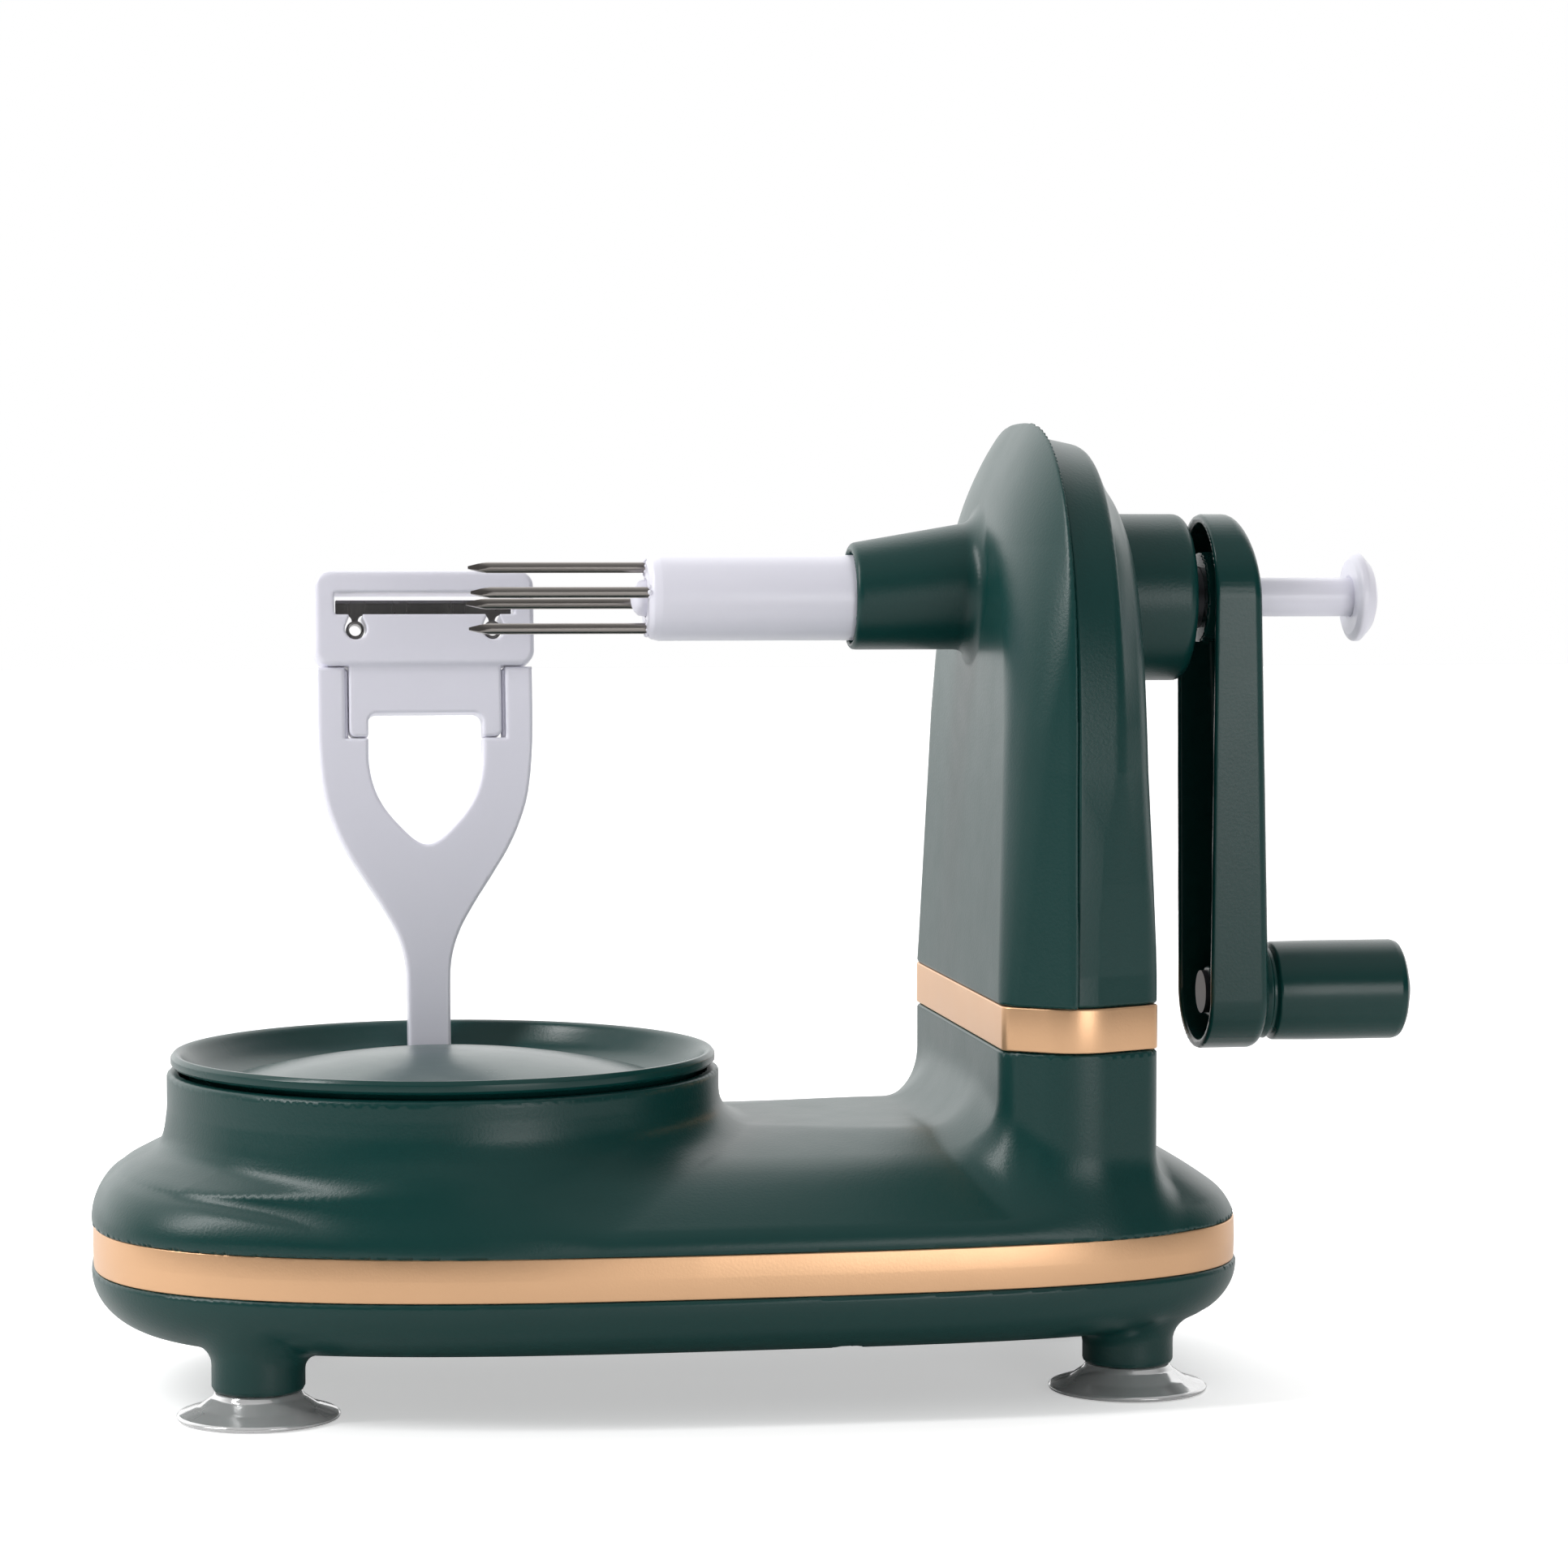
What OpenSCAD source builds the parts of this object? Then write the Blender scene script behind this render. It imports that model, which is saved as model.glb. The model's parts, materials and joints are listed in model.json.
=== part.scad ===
// Hand-cranked apple peeler on a suction base.
// +X points from the turntable to the crank, +Y to the back, +Z up.
// The origin lies under the middle of the machine, on the worktop.

/* [Base] */
// Length of the base from its left end to its right end
base_l = 260.5; // [256:0.5:264]
// Half the width of the base at its middle
base_hw = 72; // [70:0.5:74]
// Height of the lower edge of the base trim band
band_z = 28; // [27.5:0.1:28.5]
// Height of the base trim band
band_h = 9.6; // [9:0.1:10]
// Height of the deck between the turntable and the tower
deck_z = 58.5; // [58:0.1:59.5]
// Wall thickness of the moulded shells
wall = 2.2; // [2:0.1:2.4]

/* [Feet] */
// Rim diameter of a suction cup
cup_d = 35.8; // [34:0.2:37]
// Diameter of a leg
leg_d = 20.5; // [19:0.5:21]
// Height of the underside of a leg
leg_z = 6; // [5.8:0.1:6.4]

/* [Turntable] */
// Outer diameter of the turntable rim
table_d = 124; // [122:0.5:125]
// Height of the top of the turntable rim
table_z = 75; // [74.8:0.1:75.4]
// Diameter of the dome in the turntable's dish
dome_d = 98; // [96:0.5:98]

/* [Tower] */
// Height of the top of the tower
tower_top = 218.5; // [216:0.5:220]
// Half the width of the tower at its seam
tower_hw = 64.4; // [63.5:0.1:65]
// Height of the spindle axis
axis_z = 178; // [177.8:0.1:178.2]

/* [Fork and ejector] */
// Diameter of the fork sleeve
sleeve_d = 19.2; // [18.8:0.1:19.4]
// Length of a tine in front of the sleeve
tine_l = 40.6; // [38:0.2:42]
// Diameter of a tine
tine_d = 2.1; // [1.9:0.1:2.3]
// Diameter of the ejector knob
knob_d = 20.8; // [19:0.2:22]

/* [Crank] */
// Distance from the spindle axis to the grip axis
throw = 92.6; // [90:0.2:94]
// Diameter of the crank grip
grip_d = 23.4; // [22:0.2:24]

/* [Peeler arm] */
// Width of the blade holder
holder_w = 53; // [52:0.2:53.4]
// Lean of the arm away from the fork at rest
lean = 8; // [6:0.5:8]

/* [Gears] */
// Working gap between meshing teeth
backlash = 0.3; // [0.25:0.01:0.35]

/* [Hidden] */
$fn = 96;
overall_l = 308;                       // base, crank and grip together
left_x = -overall_l / 2;               // left end of the base
mid_x = left_x + base_l / 2;
table_x = -74;                         // turntable axis
band_top = band_z + band_h;
pan_z = 14;                            // underside of the lower pan
post_z = 38.5;                         // where the screw posts meet
crank_foot_w = 16.6;                   // half width of the crank at the grip
plate_t = 3.5;                         // thickness of the gear plate
feet = [[-117.8, -44], [-110, 44], [77.2, -40], [77.2, 40]];
pan_screws = [[-132, 29], [-132, -29], [10, 58], [10, -58], [92, 38], [92, -38]];
plate_screws = [[-125, 0], [-40, 50], [-40, -50], [92, 20], [92, -20]];

// spur and bevel gears
m_table = 1.25;                        // module of the turntable stage
m_column = 1.5;                        // module of the column stage
m_bevel = 1;                           // module of the bevel pair
table_t = 72;
idler_t = 32;
small_t = 12;
large_t = 48;
bevel_t = 16;
crown_t = 24;
idler_x = table_x + (table_t + idler_t) * m_table / 2;
reducer_x = idler_x + (idler_t + small_t) * m_table / 2;
column_x = reducer_x + (large_t + small_t) * m_column / 2;
pressure_angle = 25;
gear_low = 41.5;                       // underside of the turntable stage
gear_high = 49;                        // underside of the column stage
gear_w = 6;
bevel_r = bevel_t * m_bevel / 2;       // pitch radius of the spindle bevel
crown_r = crown_t * m_bevel / 2;       // pitch radius of the column bevel
bevel_k = 0.7;                         // size of a bevel's small end

// tower plan: left face, seam and right face
face_l = 45.2;
seam_x = 60.5;
face_r = 81;
face_hw = 53.5;
back_hw = 54.5;
stub_z = 78.4;                         // top of the base's tower stub
collar_z = stub_z + 10;                // top of the tower trim band
arch_z = 140;                          // centre height of the tower's arch
// screw posts inside the tower: [y, z, front end, rear end]
tower_posts = [for (y = [-40, 40]) each [[y, 110, 47, 79.6], [y, 160, 50.6, 78.4]]];

// fork, spindle and ejector
mouth_x = -27.4;                       // open end of the fork sleeve
boss_x = 20;                           // open end of the front boss
rear_x = 98.6;                         // end of the rear boss
hub_x = 102.3;                         // start of the crank hub
arm_out = 116.3;                       // outer face of the crank arm
shaft_r = 4.2;
rod_r = 2;
stem_r = 4.55;
fit = 0.05;                            // radial gap of a running fit
tine_ring = 7.1;
grip_z = axis_z - throw;

// peeler arm, upright, measured from its pivot
pivot_r = 50;                          // pivot's distance from the table axis
pivot_z = 65;
arm_t = 8;
holder_z = 96.6;                       // underside of the blade holder's bar
holder_top = 119.6;
seat_z = 79.4;                         // shelf that the holder's legs stand on
holder_hw = 18.4;                      // half the width of the holder's body
slot_z = 109;                          // lower edge of the blade slot
eye_x = 16.6;                          // blade lug's distance from the middle
eye_z = 105.5;
floor_z = 60;                          // floor of the turntable recess

// ---- outlines -------------------------------------------------------------

// signed power, for superellipses
function spow(v, p) = sign(v) * pow(abs(v), p);

// base outline, rounder at its left end, shrunk by inset
function base_points(inset) = [for (a = [0 : 5 : 355])
    let (p = cos(a) > 0 ? 2 / 3.6 : 2 / 2.75, u = spow(cos(a), p))
    [mid_x + (base_l / 2 - inset) * u,
     (base_hw - inset) * spow(sin(a), p) * (1 - 0.035 * max(u, 0))]];

// tower plan with a ridge at each seam, shrunk by inset
function tower_plan(inset) = [
    [face_l + inset, -face_hw + inset], [seam_x, -tower_hw + 1.2 * inset],
    [face_r - inset, -back_hw + inset], [face_r - inset, back_hw - inset],
    [seam_x, tower_hw - 1.2 * inset], [face_l + inset, face_hw - inset]];

// half arch of superelliptic power n from the tower's side to its top, as [y, z]
function arch_points(hw, top, n) = concat([[hw, collar_z]], [for (a = [0 : 9 : 90])
    [hw * pow(cos(a), 2 / n), arch_z + (top - arch_z) * pow(sin(a), 2 / n)]]);

module base_slab(inset, z, h) {
    translate([0, 0, z]) linear_extrude(h) polygon(base_points(inset));
}

// thin upright slice of the tower
module arch_slice(x, hw, top, n) {
    half = arch_points(hw, top, n);
    mirrored = [for (i = [len(half) - 2 : -1 : 0]) [-half[i][0], half[i][1]]];
    translate([x, 0, 0]) rotate([90, 0, 90]) linear_extrude(0.1)
        polygon(concat(half, mirrored));
}

module tower_form(inset, z) {
    hull() {
        translate([0, 0, z]) linear_extrude(1) polygon(tower_plan(inset));
        arch_slice(face_l + 4.6 + inset, face_hw - 2 - inset, tower_top - 11.5 - inset, 2);
        arch_slice(seam_x - 5, tower_hw - 3 - inset, tower_top - 1.5 - inset, 2.6);
        arch_slice(seam_x, tower_hw - 1.2 * inset, tower_top - inset, 2.7);
        arch_slice(face_r - 1.8 - inset, back_hw - 3 - inset, tower_top - 19 - inset, 2);
    }
}

// places its children at each point of a list
module at(points) {
    for (p = points) translate([p[0], p[1], 0]) children();
}

// cylinder along X from x0 to x1, on the spindle axis
module barrel(x0, x1, r) {
    translate([x0, 0, axis_z]) rotate([0, 90, 0]) cylinder(h = x1 - x0, r = r);
}

module tapered_barrel(x0, x1, r0, r1) {
    translate([x0, 0, axis_z]) rotate([0, 90, 0]) cylinder(h = x1 - x0, r1 = r0, r2 = r1);
}

// ---- gears ----------------------------------------------------------------

function involute(rb, r) = let (a = acos(min(1, rb / r))) tan(a) * 180 / PI - a;

// outline of a spur gear with a tooth on its +X side, turned by phase
function gear_points(teeth, m, phase) =
    let (rp = teeth * m / 2, rb = rp * cos(pressure_angle), ra = rp + 0.9 * m,
         rr = rp - 1.15 * m, r0 = max(rb, rr),
         half = 90 / teeth - backlash / rp * 45 / PI + involute(rb, rp))
    [for (i = [0 : teeth - 1]) let (c = phase + i * 360 / teeth)
        for (p = [[rr, -half], [r0 + 0.02, -half], [(r0 + rp) / 2, -half],
                  [rp, -half], [ra, -half], [ra, half], [rp, half],
                  [(r0 + rp) / 2, half], [r0 + 0.02, half], [rr, half]])
            let (t = sign(p[1]) * (half - involute(rb, max(rb, p[0]))))
            p[0] * [cos(c + t), sin(c + t)]];

module spur(teeth, m, phase, h) {
    linear_extrude(h) polygon(gear_points(teeth, m, phase));
}

// outline of a bevel's large end; slope is the cosine of its pitch cone
function bevel_points(teeth, rp, slope, phase) =
    let (add = 0.75 * m_bevel / slope, ded = 1.0 * m_bevel / slope,
         t = (PI * m_bevel / 2 - backlash) / 2, k = tan(pressure_angle) * slope)
    [for (i = [0 : teeth - 1]) let (c = phase + i * 360 / teeth)
        for (p = [[rp - ded, -(t + k * ded)], [rp + add, -(t - k * add)],
                  [rp + add, t - k * add], [rp - ded, t + k * ded]])
            p[0] * [cos(c + p[1] / p[0] * 180 / PI), sin(c + p[1] / p[0] * 180 / PI)]];

// bevel gear whose large end lies at 0 and whose cone narrows upwards
module bevel(teeth, rp, apex, phase) {
    slope = apex / sqrt(rp * rp + apex * apex);
    linear_extrude(apex * (1 - bevel_k), scale = bevel_k)
        polygon(bevel_points(teeth, rp, slope, phase));
}

// ---- fasteners ------------------------------------------------------------

// screw with its head below: the shank runs up from z 0
module screw_up(l, r, head_r, head_h) {
    cylinder(h = l, r = r, $fn = 32);
    difference() {
        translate([0, 0, -head_h]) cylinder(h = head_h, r = head_r, $fn = 48);
        for (a = [0, 90]) rotate([0, 0, a]) translate([-head_r, -0.4, -head_h - 1])
            cube([2 * head_r, 0.8, 1.7]);
    }
}

// ---- base -----------------------------------------------------------------

module collar_profile() {
    polygon([[0, 49], [67, 49], [66.6, 51.5], [64.8, 55], [63.5, 60], [62.9, 66],
             [62.9, 70.8], [0, 70.8]]);
}

module base_upper_shell() {
    color([0.06, 0.19, 0.17]) {
        difference() {
            union() {
                hull() {
                    base_slab(0, band_top, 3);
                    base_slab(4, 47, 0.1);
                    base_slab(12, 51.5, 0.1);
                }
                hull() {
                    base_slab(12, 51.5, 0.1);
                    base_slab(30, deck_z - 0.1, 0.1);
                }
                translate([table_x, 0, 0]) rotate_extrude() collar_profile();
                translate([0, 0, 44]) linear_extrude(stub_z - 44) polygon(tower_plan(0));
            }
            hull() {
                base_slab(wall, band_top - 1, 3);
                base_slab(4 + wall, 47 - wall, 0.1);
                base_slab(12 + wall, 51.5 - wall, 0.1);
                base_slab(30 + wall, deck_z - wall, 0.1);
            }
            // turntable well, open below, and its recess for the turntable
            translate([table_x, 0, 40]) cylinder(h = floor_z - wall - 40, r = 60.4);
            translate([table_x, 0, floor_z]) cylinder(h = 20, r = 59.8);
            translate([table_x, 0, 40]) cylinder(h = 40, r = 16);
            translate([0, 0, 40]) linear_extrude(50) polygon(tower_plan(4.3));
            translate([0, 0, stub_z]) linear_extrude(50) polygon(tower_plan(-10));
        }
        // spigot that carries the trim band and the tower shells
        difference() {
            translate([0, 0, 70]) linear_extrude(20.4) polygon(tower_plan(2.6));
            translate([0, 0, 60]) linear_extrude(50) polygon(tower_plan(4.3));
        }
        shell_posts(pan_screws, [49.5, 49.5, 49.5, 49.5, 48, 48]);
        shell_posts(plate_screws, [59, 59, 59, 49, 49]);
    }
}

// screw posts under the deck, each from the parting level up to its own height
module shell_posts(points, tops) {
    for (i = [0 : len(points) - 1]) translate([points[i][0], points[i][1], post_z])
        difference() {
            cylinder(h = tops[i] - post_z, r = 4.2, $fn = 48);
            translate([0, 0, -1]) cylinder(h = 10, r = 1.3, $fn = 32);
        }
}

module base_trim_band() {
    color([0.80, 0.62, 0.44]) difference() {
        base_slab(0.4, band_z, band_h);
        base_slab(2, band_z - 1, band_h + 2);
    }
}

module base_lower_pan() {
    color([0.06, 0.19, 0.17]) {
        difference() {
            union() {
                hull() {
                    base_slab(0, band_z - 4, 4);
                    base_slab(3, 19, 0.1);
                    base_slab(13, pan_z, 0.1);
                }
                at(feet) translate([0, 0, leg_z])
                    cylinder(h = 12, r1 = leg_d / 2 - 0.3, r2 = leg_d / 2 + 0.3);
            }
            hull() {
                base_slab(wall, band_z - 3.9, 8);
                base_slab(3 + wall, 19 + wall, 0.1);
                base_slab(13 + wall, pan_z + wall, 0.1);
            }
            at(feet) translate([0, 0, leg_z - 1]) cylinder(h = 8, r = 5.1, $fn = 48);
            at(pan_screws) screw_clearance();
        }
        difference() {
            base_slab(2.3, 26, 13.2);
            base_slab(4.3, 25, 16);
        }
        at(pan_screws) difference() {
            translate([0, 0, pan_z + 1]) cylinder(h = post_z - pan_z - 1, r = 4.6, $fn = 48);
            screw_clearance();
        }
    }
}

// head recess and shank hole of a pan screw
module screw_clearance() {
    translate([0, 0, pan_z - 1]) cylinder(h = 4.4, r = 3.3, $fn = 48);
    translate([0, 0, pan_z]) cylinder(h = 40, r = 1.6, $fn = 32);
}

module base_screws() {
    color("silver") at(pan_screws) translate([0, 0, pan_z + 3.4])
        screw_up(28, 1.25, 3, 2.2);
}

module suction_cup(i) {
    color([0.8, 0.82, 0.83, 0.6]) translate([feet[i][0], feet[i][1], 0])
        rotate_extrude() polygon([[cup_d / 2 - 1.5, 0], [cup_d / 2 - 0.4, 0],
            [cup_d / 2, 0.4], [cup_d / 2, 1], [13.5, 3.6], [9.6, leg_z - 0.1],
            [5, leg_z - 0.1], [5, 12.8], [3.6, 12.8], [3.6, 5], [8, 3.6], [12.5, 2]]);
}

// ---- tower ----------------------------------------------------------------

// half space on one side of the seam
module seam_side(x0, x1) {
    translate([x0, -80, collar_z]) cube([x1 - x0, 160, 140]);
}

module tower_front_shell() {
    color([0.06, 0.19, 0.17]) difference() {
        union() {
            intersection() {
                difference() {
                    tower_form(0, collar_z);
                    tower_form(wall, collar_z - 3);
                }
                seam_side(30, seam_x);
            }
            tapered_barrel(boss_x, 50, 12.3, 15);
            // screw posts that meet the rear shell's
            for (p = tower_posts) translate([p[2], p[0], p[1]])
                rotate([0, 90, 0]) cylinder(h = seam_x - p[2], r = 4, $fn = 48);
        }
        barrel(boss_x - 1, 60, 10.6);
        // room for the column bevel
        translate([column_x, 0, 168]) cylinder(h = 6, r = 14.2);
        for (p = tower_posts) translate([seam_x - 9, p[0], p[1]])
            rotate([0, 90, 0]) cylinder(h = 12, r = 1.3, $fn = 32);
    }
}

module tower_rear_shell() {
    color([0.06, 0.19, 0.17]) difference() {
        union() {
            intersection() {
                difference() {
                    tower_form(0, collar_z);
                    tower_form(wall, collar_z - 3);
                }
                seam_side(seam_x, 90);
            }
            barrel(78, rear_x, 19.4);
            for (p = tower_posts) translate([seam_x, p[0], p[1]])
                rotate([0, 90, 0]) cylinder(h = p[3] - seam_x, r = 4, $fn = 48);
            // ledges for the column bracket
            for (y = [-22, 12]) translate([68, y, 143]) cube([10, 10, 7]);
        }
        barrel(70, 95.2, 13.05);
        barrel(70, rear_x + 1, 7.6);
        for (p = tower_posts) translate([seam_x - 1, p[0], p[1]])
            rotate([0, 90, 0]) {
                cylinder(h = 30, r = 1.6, $fn = 32);
                translate([0, 0, 12]) cylinder(h = 20, r = 3.2, $fn = 48);
            }
        for (y = [-17, 17]) translate([73, y, 142]) cylinder(h = 9, r = 1.3, $fn = 32);
    }
}

module tower_trim_band() {
    color([0.80, 0.62, 0.44]) difference() {
        translate([0, 0, stub_z]) linear_extrude(10) polygon(tower_plan(0.4));
        translate([0, 0, stub_z - 1]) linear_extrude(12) polygon(tower_plan(2.2));
    }
}

module tower_screws() {
    color("silver") for (p = tower_posts)
        translate([seam_x + 11, p[0], p[1]]) rotate([0, -90, 0]) screw_up(18.5, 1.25, 3, 2.2);
}

// ---- bearings and frame ---------------------------------------------------

module bush(x0, x1, r_in, r_out) {
    difference() {
        barrel(x0, x1, r_out);
        barrel(x0 - 1, x1 + 1, r_in);
    }
}

module spindle_bush_front() {
    color([0.92, 0.92, 0.9]) bush(32, 46, shaft_r + fit, 10.55);
}

module spindle_bush_rear() {
    color([0.92, 0.92, 0.9]) bush(81.5, 95.2, 7 + fit, 13);
}

module column_bracket() {
    color([0.25, 0.25, 0.26]) difference() {
        translate([55, -24, 150]) cube([21, 48, 4]);
        translate([column_x, 0, 149]) cylinder(h = 6, r = 5.05, $fn = 64);
        for (y = [-17, 17]) translate([73, y, 149]) cylinder(h = 6, r = 1.6, $fn = 32);
    }
}

module bracket_screws() {
    color("silver") for (y = [-17, 17]) translate([73, y, 154]) rotate([180, 0, 0])
        screw_up(10, 1.25, 2.8, 1.8);
}

module column_bush(z) {
    color([0.78, 0.6, 0.3]) translate([column_x, 0, z]) difference() {
        union() {
            cylinder(h = 4, r = 5, $fn = 64);
            translate([0, 0, 4]) cylinder(h = 1.5, r = 7, $fn = 64);
        }
        translate([0, 0, -1]) cylinder(h = 8, r = 3 + fit, $fn = 64);
    }
}

module column_bush_upper() { column_bush(150); }

module column_bush_lower() { column_bush(34.5); }

module gear_plate() {
    color([0.7, 0.72, 0.74]) translate([0, 0, post_z - plate_t]) difference() {
        union() {
            translate([-131, -13, 0]) cube([230, 26, plate_t]);
            translate([-47, -56, 0]) cube([14, 112, plate_t]);
            translate([85, -27, 0]) cube([14, 54, plate_t]);
        }
        at(plate_screws) translate([0, 0, -1]) cylinder(h = 6, r = 1.6, $fn = 32);
        translate([column_x, 0, -1]) cylinder(h = 6, r = 5.05, $fn = 64);
        for (p = [[table_x, 5], [idler_x, 3], [reducer_x, 3]])
            translate([p[0], 0, -1]) cylinder(h = 6, r = p[1] + 0.02, $fn = 64);
    }
}

module plate_screws_set() {
    color("silver") at(plate_screws) translate([0, 0, post_z - plate_t])
        screw_up(11, 1.25, 2.8, 1.8);
}

// axle pressed up through the gear plate, with its head below and a thrust
// collar under the gear it carries
module axle(x, r, top) {
    color("silver") translate([x, 0, 0]) {
        translate([0, 0, post_z - plate_t - 1.5]) cylinder(h = 1.5, r = r + 2, $fn = 64);
        translate([0, 0, post_z - plate_t]) cylinder(h = top - post_z + plate_t, r = r, $fn = 64);
        translate([0, 0, post_z]) cylinder(h = gear_low - post_z - 0.2, r = r + 2, $fn = 64);
    }
}

module turntable_post() { axle(table_x, 5, 64.2); }

module idler_pin() { axle(idler_x, 3, gear_low + gear_w + 0.7); }

module reducer_pin() { axle(reducer_x, 3, gear_high + gear_w + 0.5); }

// ---- spindle, fork and crank ----------------------------------------------

module spindle_tube() {
    color([0.75, 0.76, 0.78]) difference() {
        union() {
            barrel(-18, 81, shaft_r);
            barrel(80, 113, 7);
        }
        barrel(-19, 120, rod_r + 0.15);
        barrel(81, 120, stem_r + 0.1);
    }
}

module spindle_bevel() {
    color([0.85, 0.84, 0.8]) difference() {
        union() {
            translate([column_x + crown_r, 0, axis_z]) rotate([0, -90, 0])
                bevel(bevel_t, bevel_r, crown_r, 180 / bevel_t);
            barrel(column_x + crown_r, 79.8, 7);
        }
        barrel(60, 90, shaft_r + 0.02);
    }
}

module fork_sleeve() {
    color([0.93, 0.93, 0.96]) difference() {
        rotate_about_axis() polygon([[mouth_x, 0], [mouth_x, 8.2],
            [mouth_x + 0.5, 9.1], [mouth_x + 1.6, sleeve_d / 2], [31.5, sleeve_d / 2],
            [31.5, 0]]);
        barrel(-18, 40, shaft_r + 0.02);
        barrel(mouth_x - 1, -12, 4.5);
        tine_holes();
    }
}

// profile of [x, r] points turned about the spindle axis
module rotate_about_axis() {
    translate([0, 0, axis_z]) rotate([0, 90, 0]) rotate_extrude() rotate([0, 0, 90])
        mirror([0, 1]) children();
}

module at_tines() {
    for (a = [0 : 90 : 270]) translate([0, 0, axis_z]) rotate([a + 11, 0, 0])
        translate([0, 0, tine_ring]) rotate([0, 90, 0]) children();
}

module tine_holes() {
    at_tines() translate([0, 0, mouth_x - 1]) cylinder(h = 13, r = tine_d / 2 + 0.01, $fn = 32);
}

module fork_tines() {
    color("silver") at_tines() {
        translate([0, 0, mouth_x - tine_l + 4.4])
            cylinder(h = tine_l + 7.4, r = tine_d / 2, $fn = 32);
        translate([0, 0, mouth_x - tine_l])
            cylinder(h = 4.4, r1 = 0.15, r2 = tine_d / 2, $fn = 32);
    }
}

// crank arm outline, looking along X, shrunk by inset
module crank_outline(inset) {
    hull() {
        circle(r = 19.4 - inset, $fn = 32);
        translate([0, -throw]) scale([(crank_foot_w - inset) / (13.2 - inset), 1])
            circle(r = 13.2 - inset, $fn = 32);
    }
}

module along_x(x) {
    translate([x, 0, axis_z]) rotate([90, 0, 90]) children();
}

module crank_arm() {
    color([0.06, 0.19, 0.17]) difference() {
        union() {
            difference() {
                along_x(hub_x) linear_extrude(arm_out - hub_x) crank_outline(0);
                along_x(hub_x - 1) linear_extrude(arm_out - hub_x + 1 - 2.4)
                    crank_outline(2.4);
            }
            barrel(hub_x, arm_out - 1, 10.5);
            translate([hub_x + 3, 0, grip_z]) rotate([0, 90, 0])
                cylinder(h = arm_out - hub_x - 4, r = 6);
        }
        barrel(hub_x - 1, 113.05, 7.02);
        barrel(110, 120, 4.8);
        translate([90, 0, grip_z]) rotate([0, 90, 0]) cylinder(h = 40, r = 3.03);
        for (a = [90, -90]) translate([108, 0, axis_z]) rotate([a, 0, 0])
            cylinder(h = 12, r = 1.52, $fn = 32);
    }
}

module crank_set_screws() {
    color([0.3, 0.3, 0.31]) for (a = [90, -90]) translate([108, 0, axis_z])
        rotate([a, 0, 0]) translate([0, 0, 7.1]) difference() {
            cylinder(h = 3.2, r = 1.5, $fn = 32);
            translate([0, 0, 2]) cylinder(h = 2, r = 0.8, $fn = 6);
        }
}

// shoulder pin of the grip, with a head on either side
module grip_pin() {
    color("silver") translate([0, 0, grip_z]) rotate([0, 90, 0]) {
        translate([0, 0, hub_x + 1.5]) cylinder(h = 1.5, r = 5, $fn = 48);
        translate([0, 0, hub_x + 2]) cylinder(h = 143 - hub_x, r = 3);
        translate([0, 0, 144]) cylinder(h = 1.6, r = 5.4, $fn = 48);
    }
}

module crank_grip() {
    color([0.06, 0.19, 0.17]) difference() {
        translate([0, 0, grip_z]) rotate([0, 90, 0]) rotate_extrude() polygon([
            [0, 117], [10.8, 117], [11.2, 117.4], [11.2, 118.6], [10.2, 119],
            [10.2, 119.8], [grip_d / 2, 120.4], [grip_d / 2, 149],
            [grip_d / 2 - 0.8, 150.6], [grip_d / 2 - 2.4, 151.4], [0, 151.4]]);
        translate([100, 0, grip_z]) rotate([0, 90, 0]) cylinder(h = 50, r = 3 + fit);
        translate([143.7, 0, grip_z]) rotate([0, 90, 0]) cylinder(h = 10, r = 5.8);
        translate([149.4, 0, grip_z]) rotate([0, 90, 0]) cylinder(h = 6, r = 7.6);
    }
}

// cap snapped into the far end of the grip, over the pin's head
module grip_cap() {
    color([0.06, 0.19, 0.17]) translate([0, 0, grip_z]) rotate([0, 90, 0])
        rotate_extrude() polygon([[0, 149.4], [7.5, 149.4], [7.5, 151.8], [5.5, 153.1],
            [3, 153.8], [0, 154]]);
}

// ---- ejector --------------------------------------------------------------

module ejector_rod() {
    color("silver") barrel(-28.5, 101, rod_r);
}

module ejector_tip() {
    color([0.93, 0.93, 0.96]) difference() {
        rotate_about_axis() polygon([[-30.8, 0], [-30.6, 1.8], [-30, 3.2], [-29, 4],
            [-28, 4.2], [-22, 4.2], [-22, 0]]);
        barrel(-28.5, -20, rod_r + 0.01);
    }
}

module ejector_stem() {
    color([0.93, 0.93, 0.96]) difference() {
        barrel(99, 141, stem_r);
        barrel(98, 101.05, rod_r + 0.01);
    }
}

module ejector_knob() {
    color([0.93, 0.93, 0.96]) difference() {
        rotate_about_axis() polygon([[139, 0], [139, knob_d / 2 - 1.2],
            [139.4, knob_d / 2 - 0.4], [140.4, knob_d / 2], [141.6, knob_d / 2 - 0.3],
            [143.2, 7.8], [144.4, 5], [145, 0]]);
        barrel(138, 141.05, stem_r + 0.01);
    }
}

// ---- column and reduction -------------------------------------------------

module column_shaft() {
    color("silver") translate([column_x, 0, 33.5]) cylinder(h = 138, r = 3);
}

module column_bevel() {
    color([0.85, 0.84, 0.8]) translate([column_x, 0, 0]) difference() {
        union() {
            translate([0, 0, axis_z - bevel_r]) bevel(crown_t, crown_r, bevel_r, 0);
            translate([0, 0, 156]) cylinder(h = axis_z - bevel_r - 156, r = 7);
        }
        translate([0, 0, 150]) cylinder(h = 30, r = 3.02);
    }
}

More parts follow.
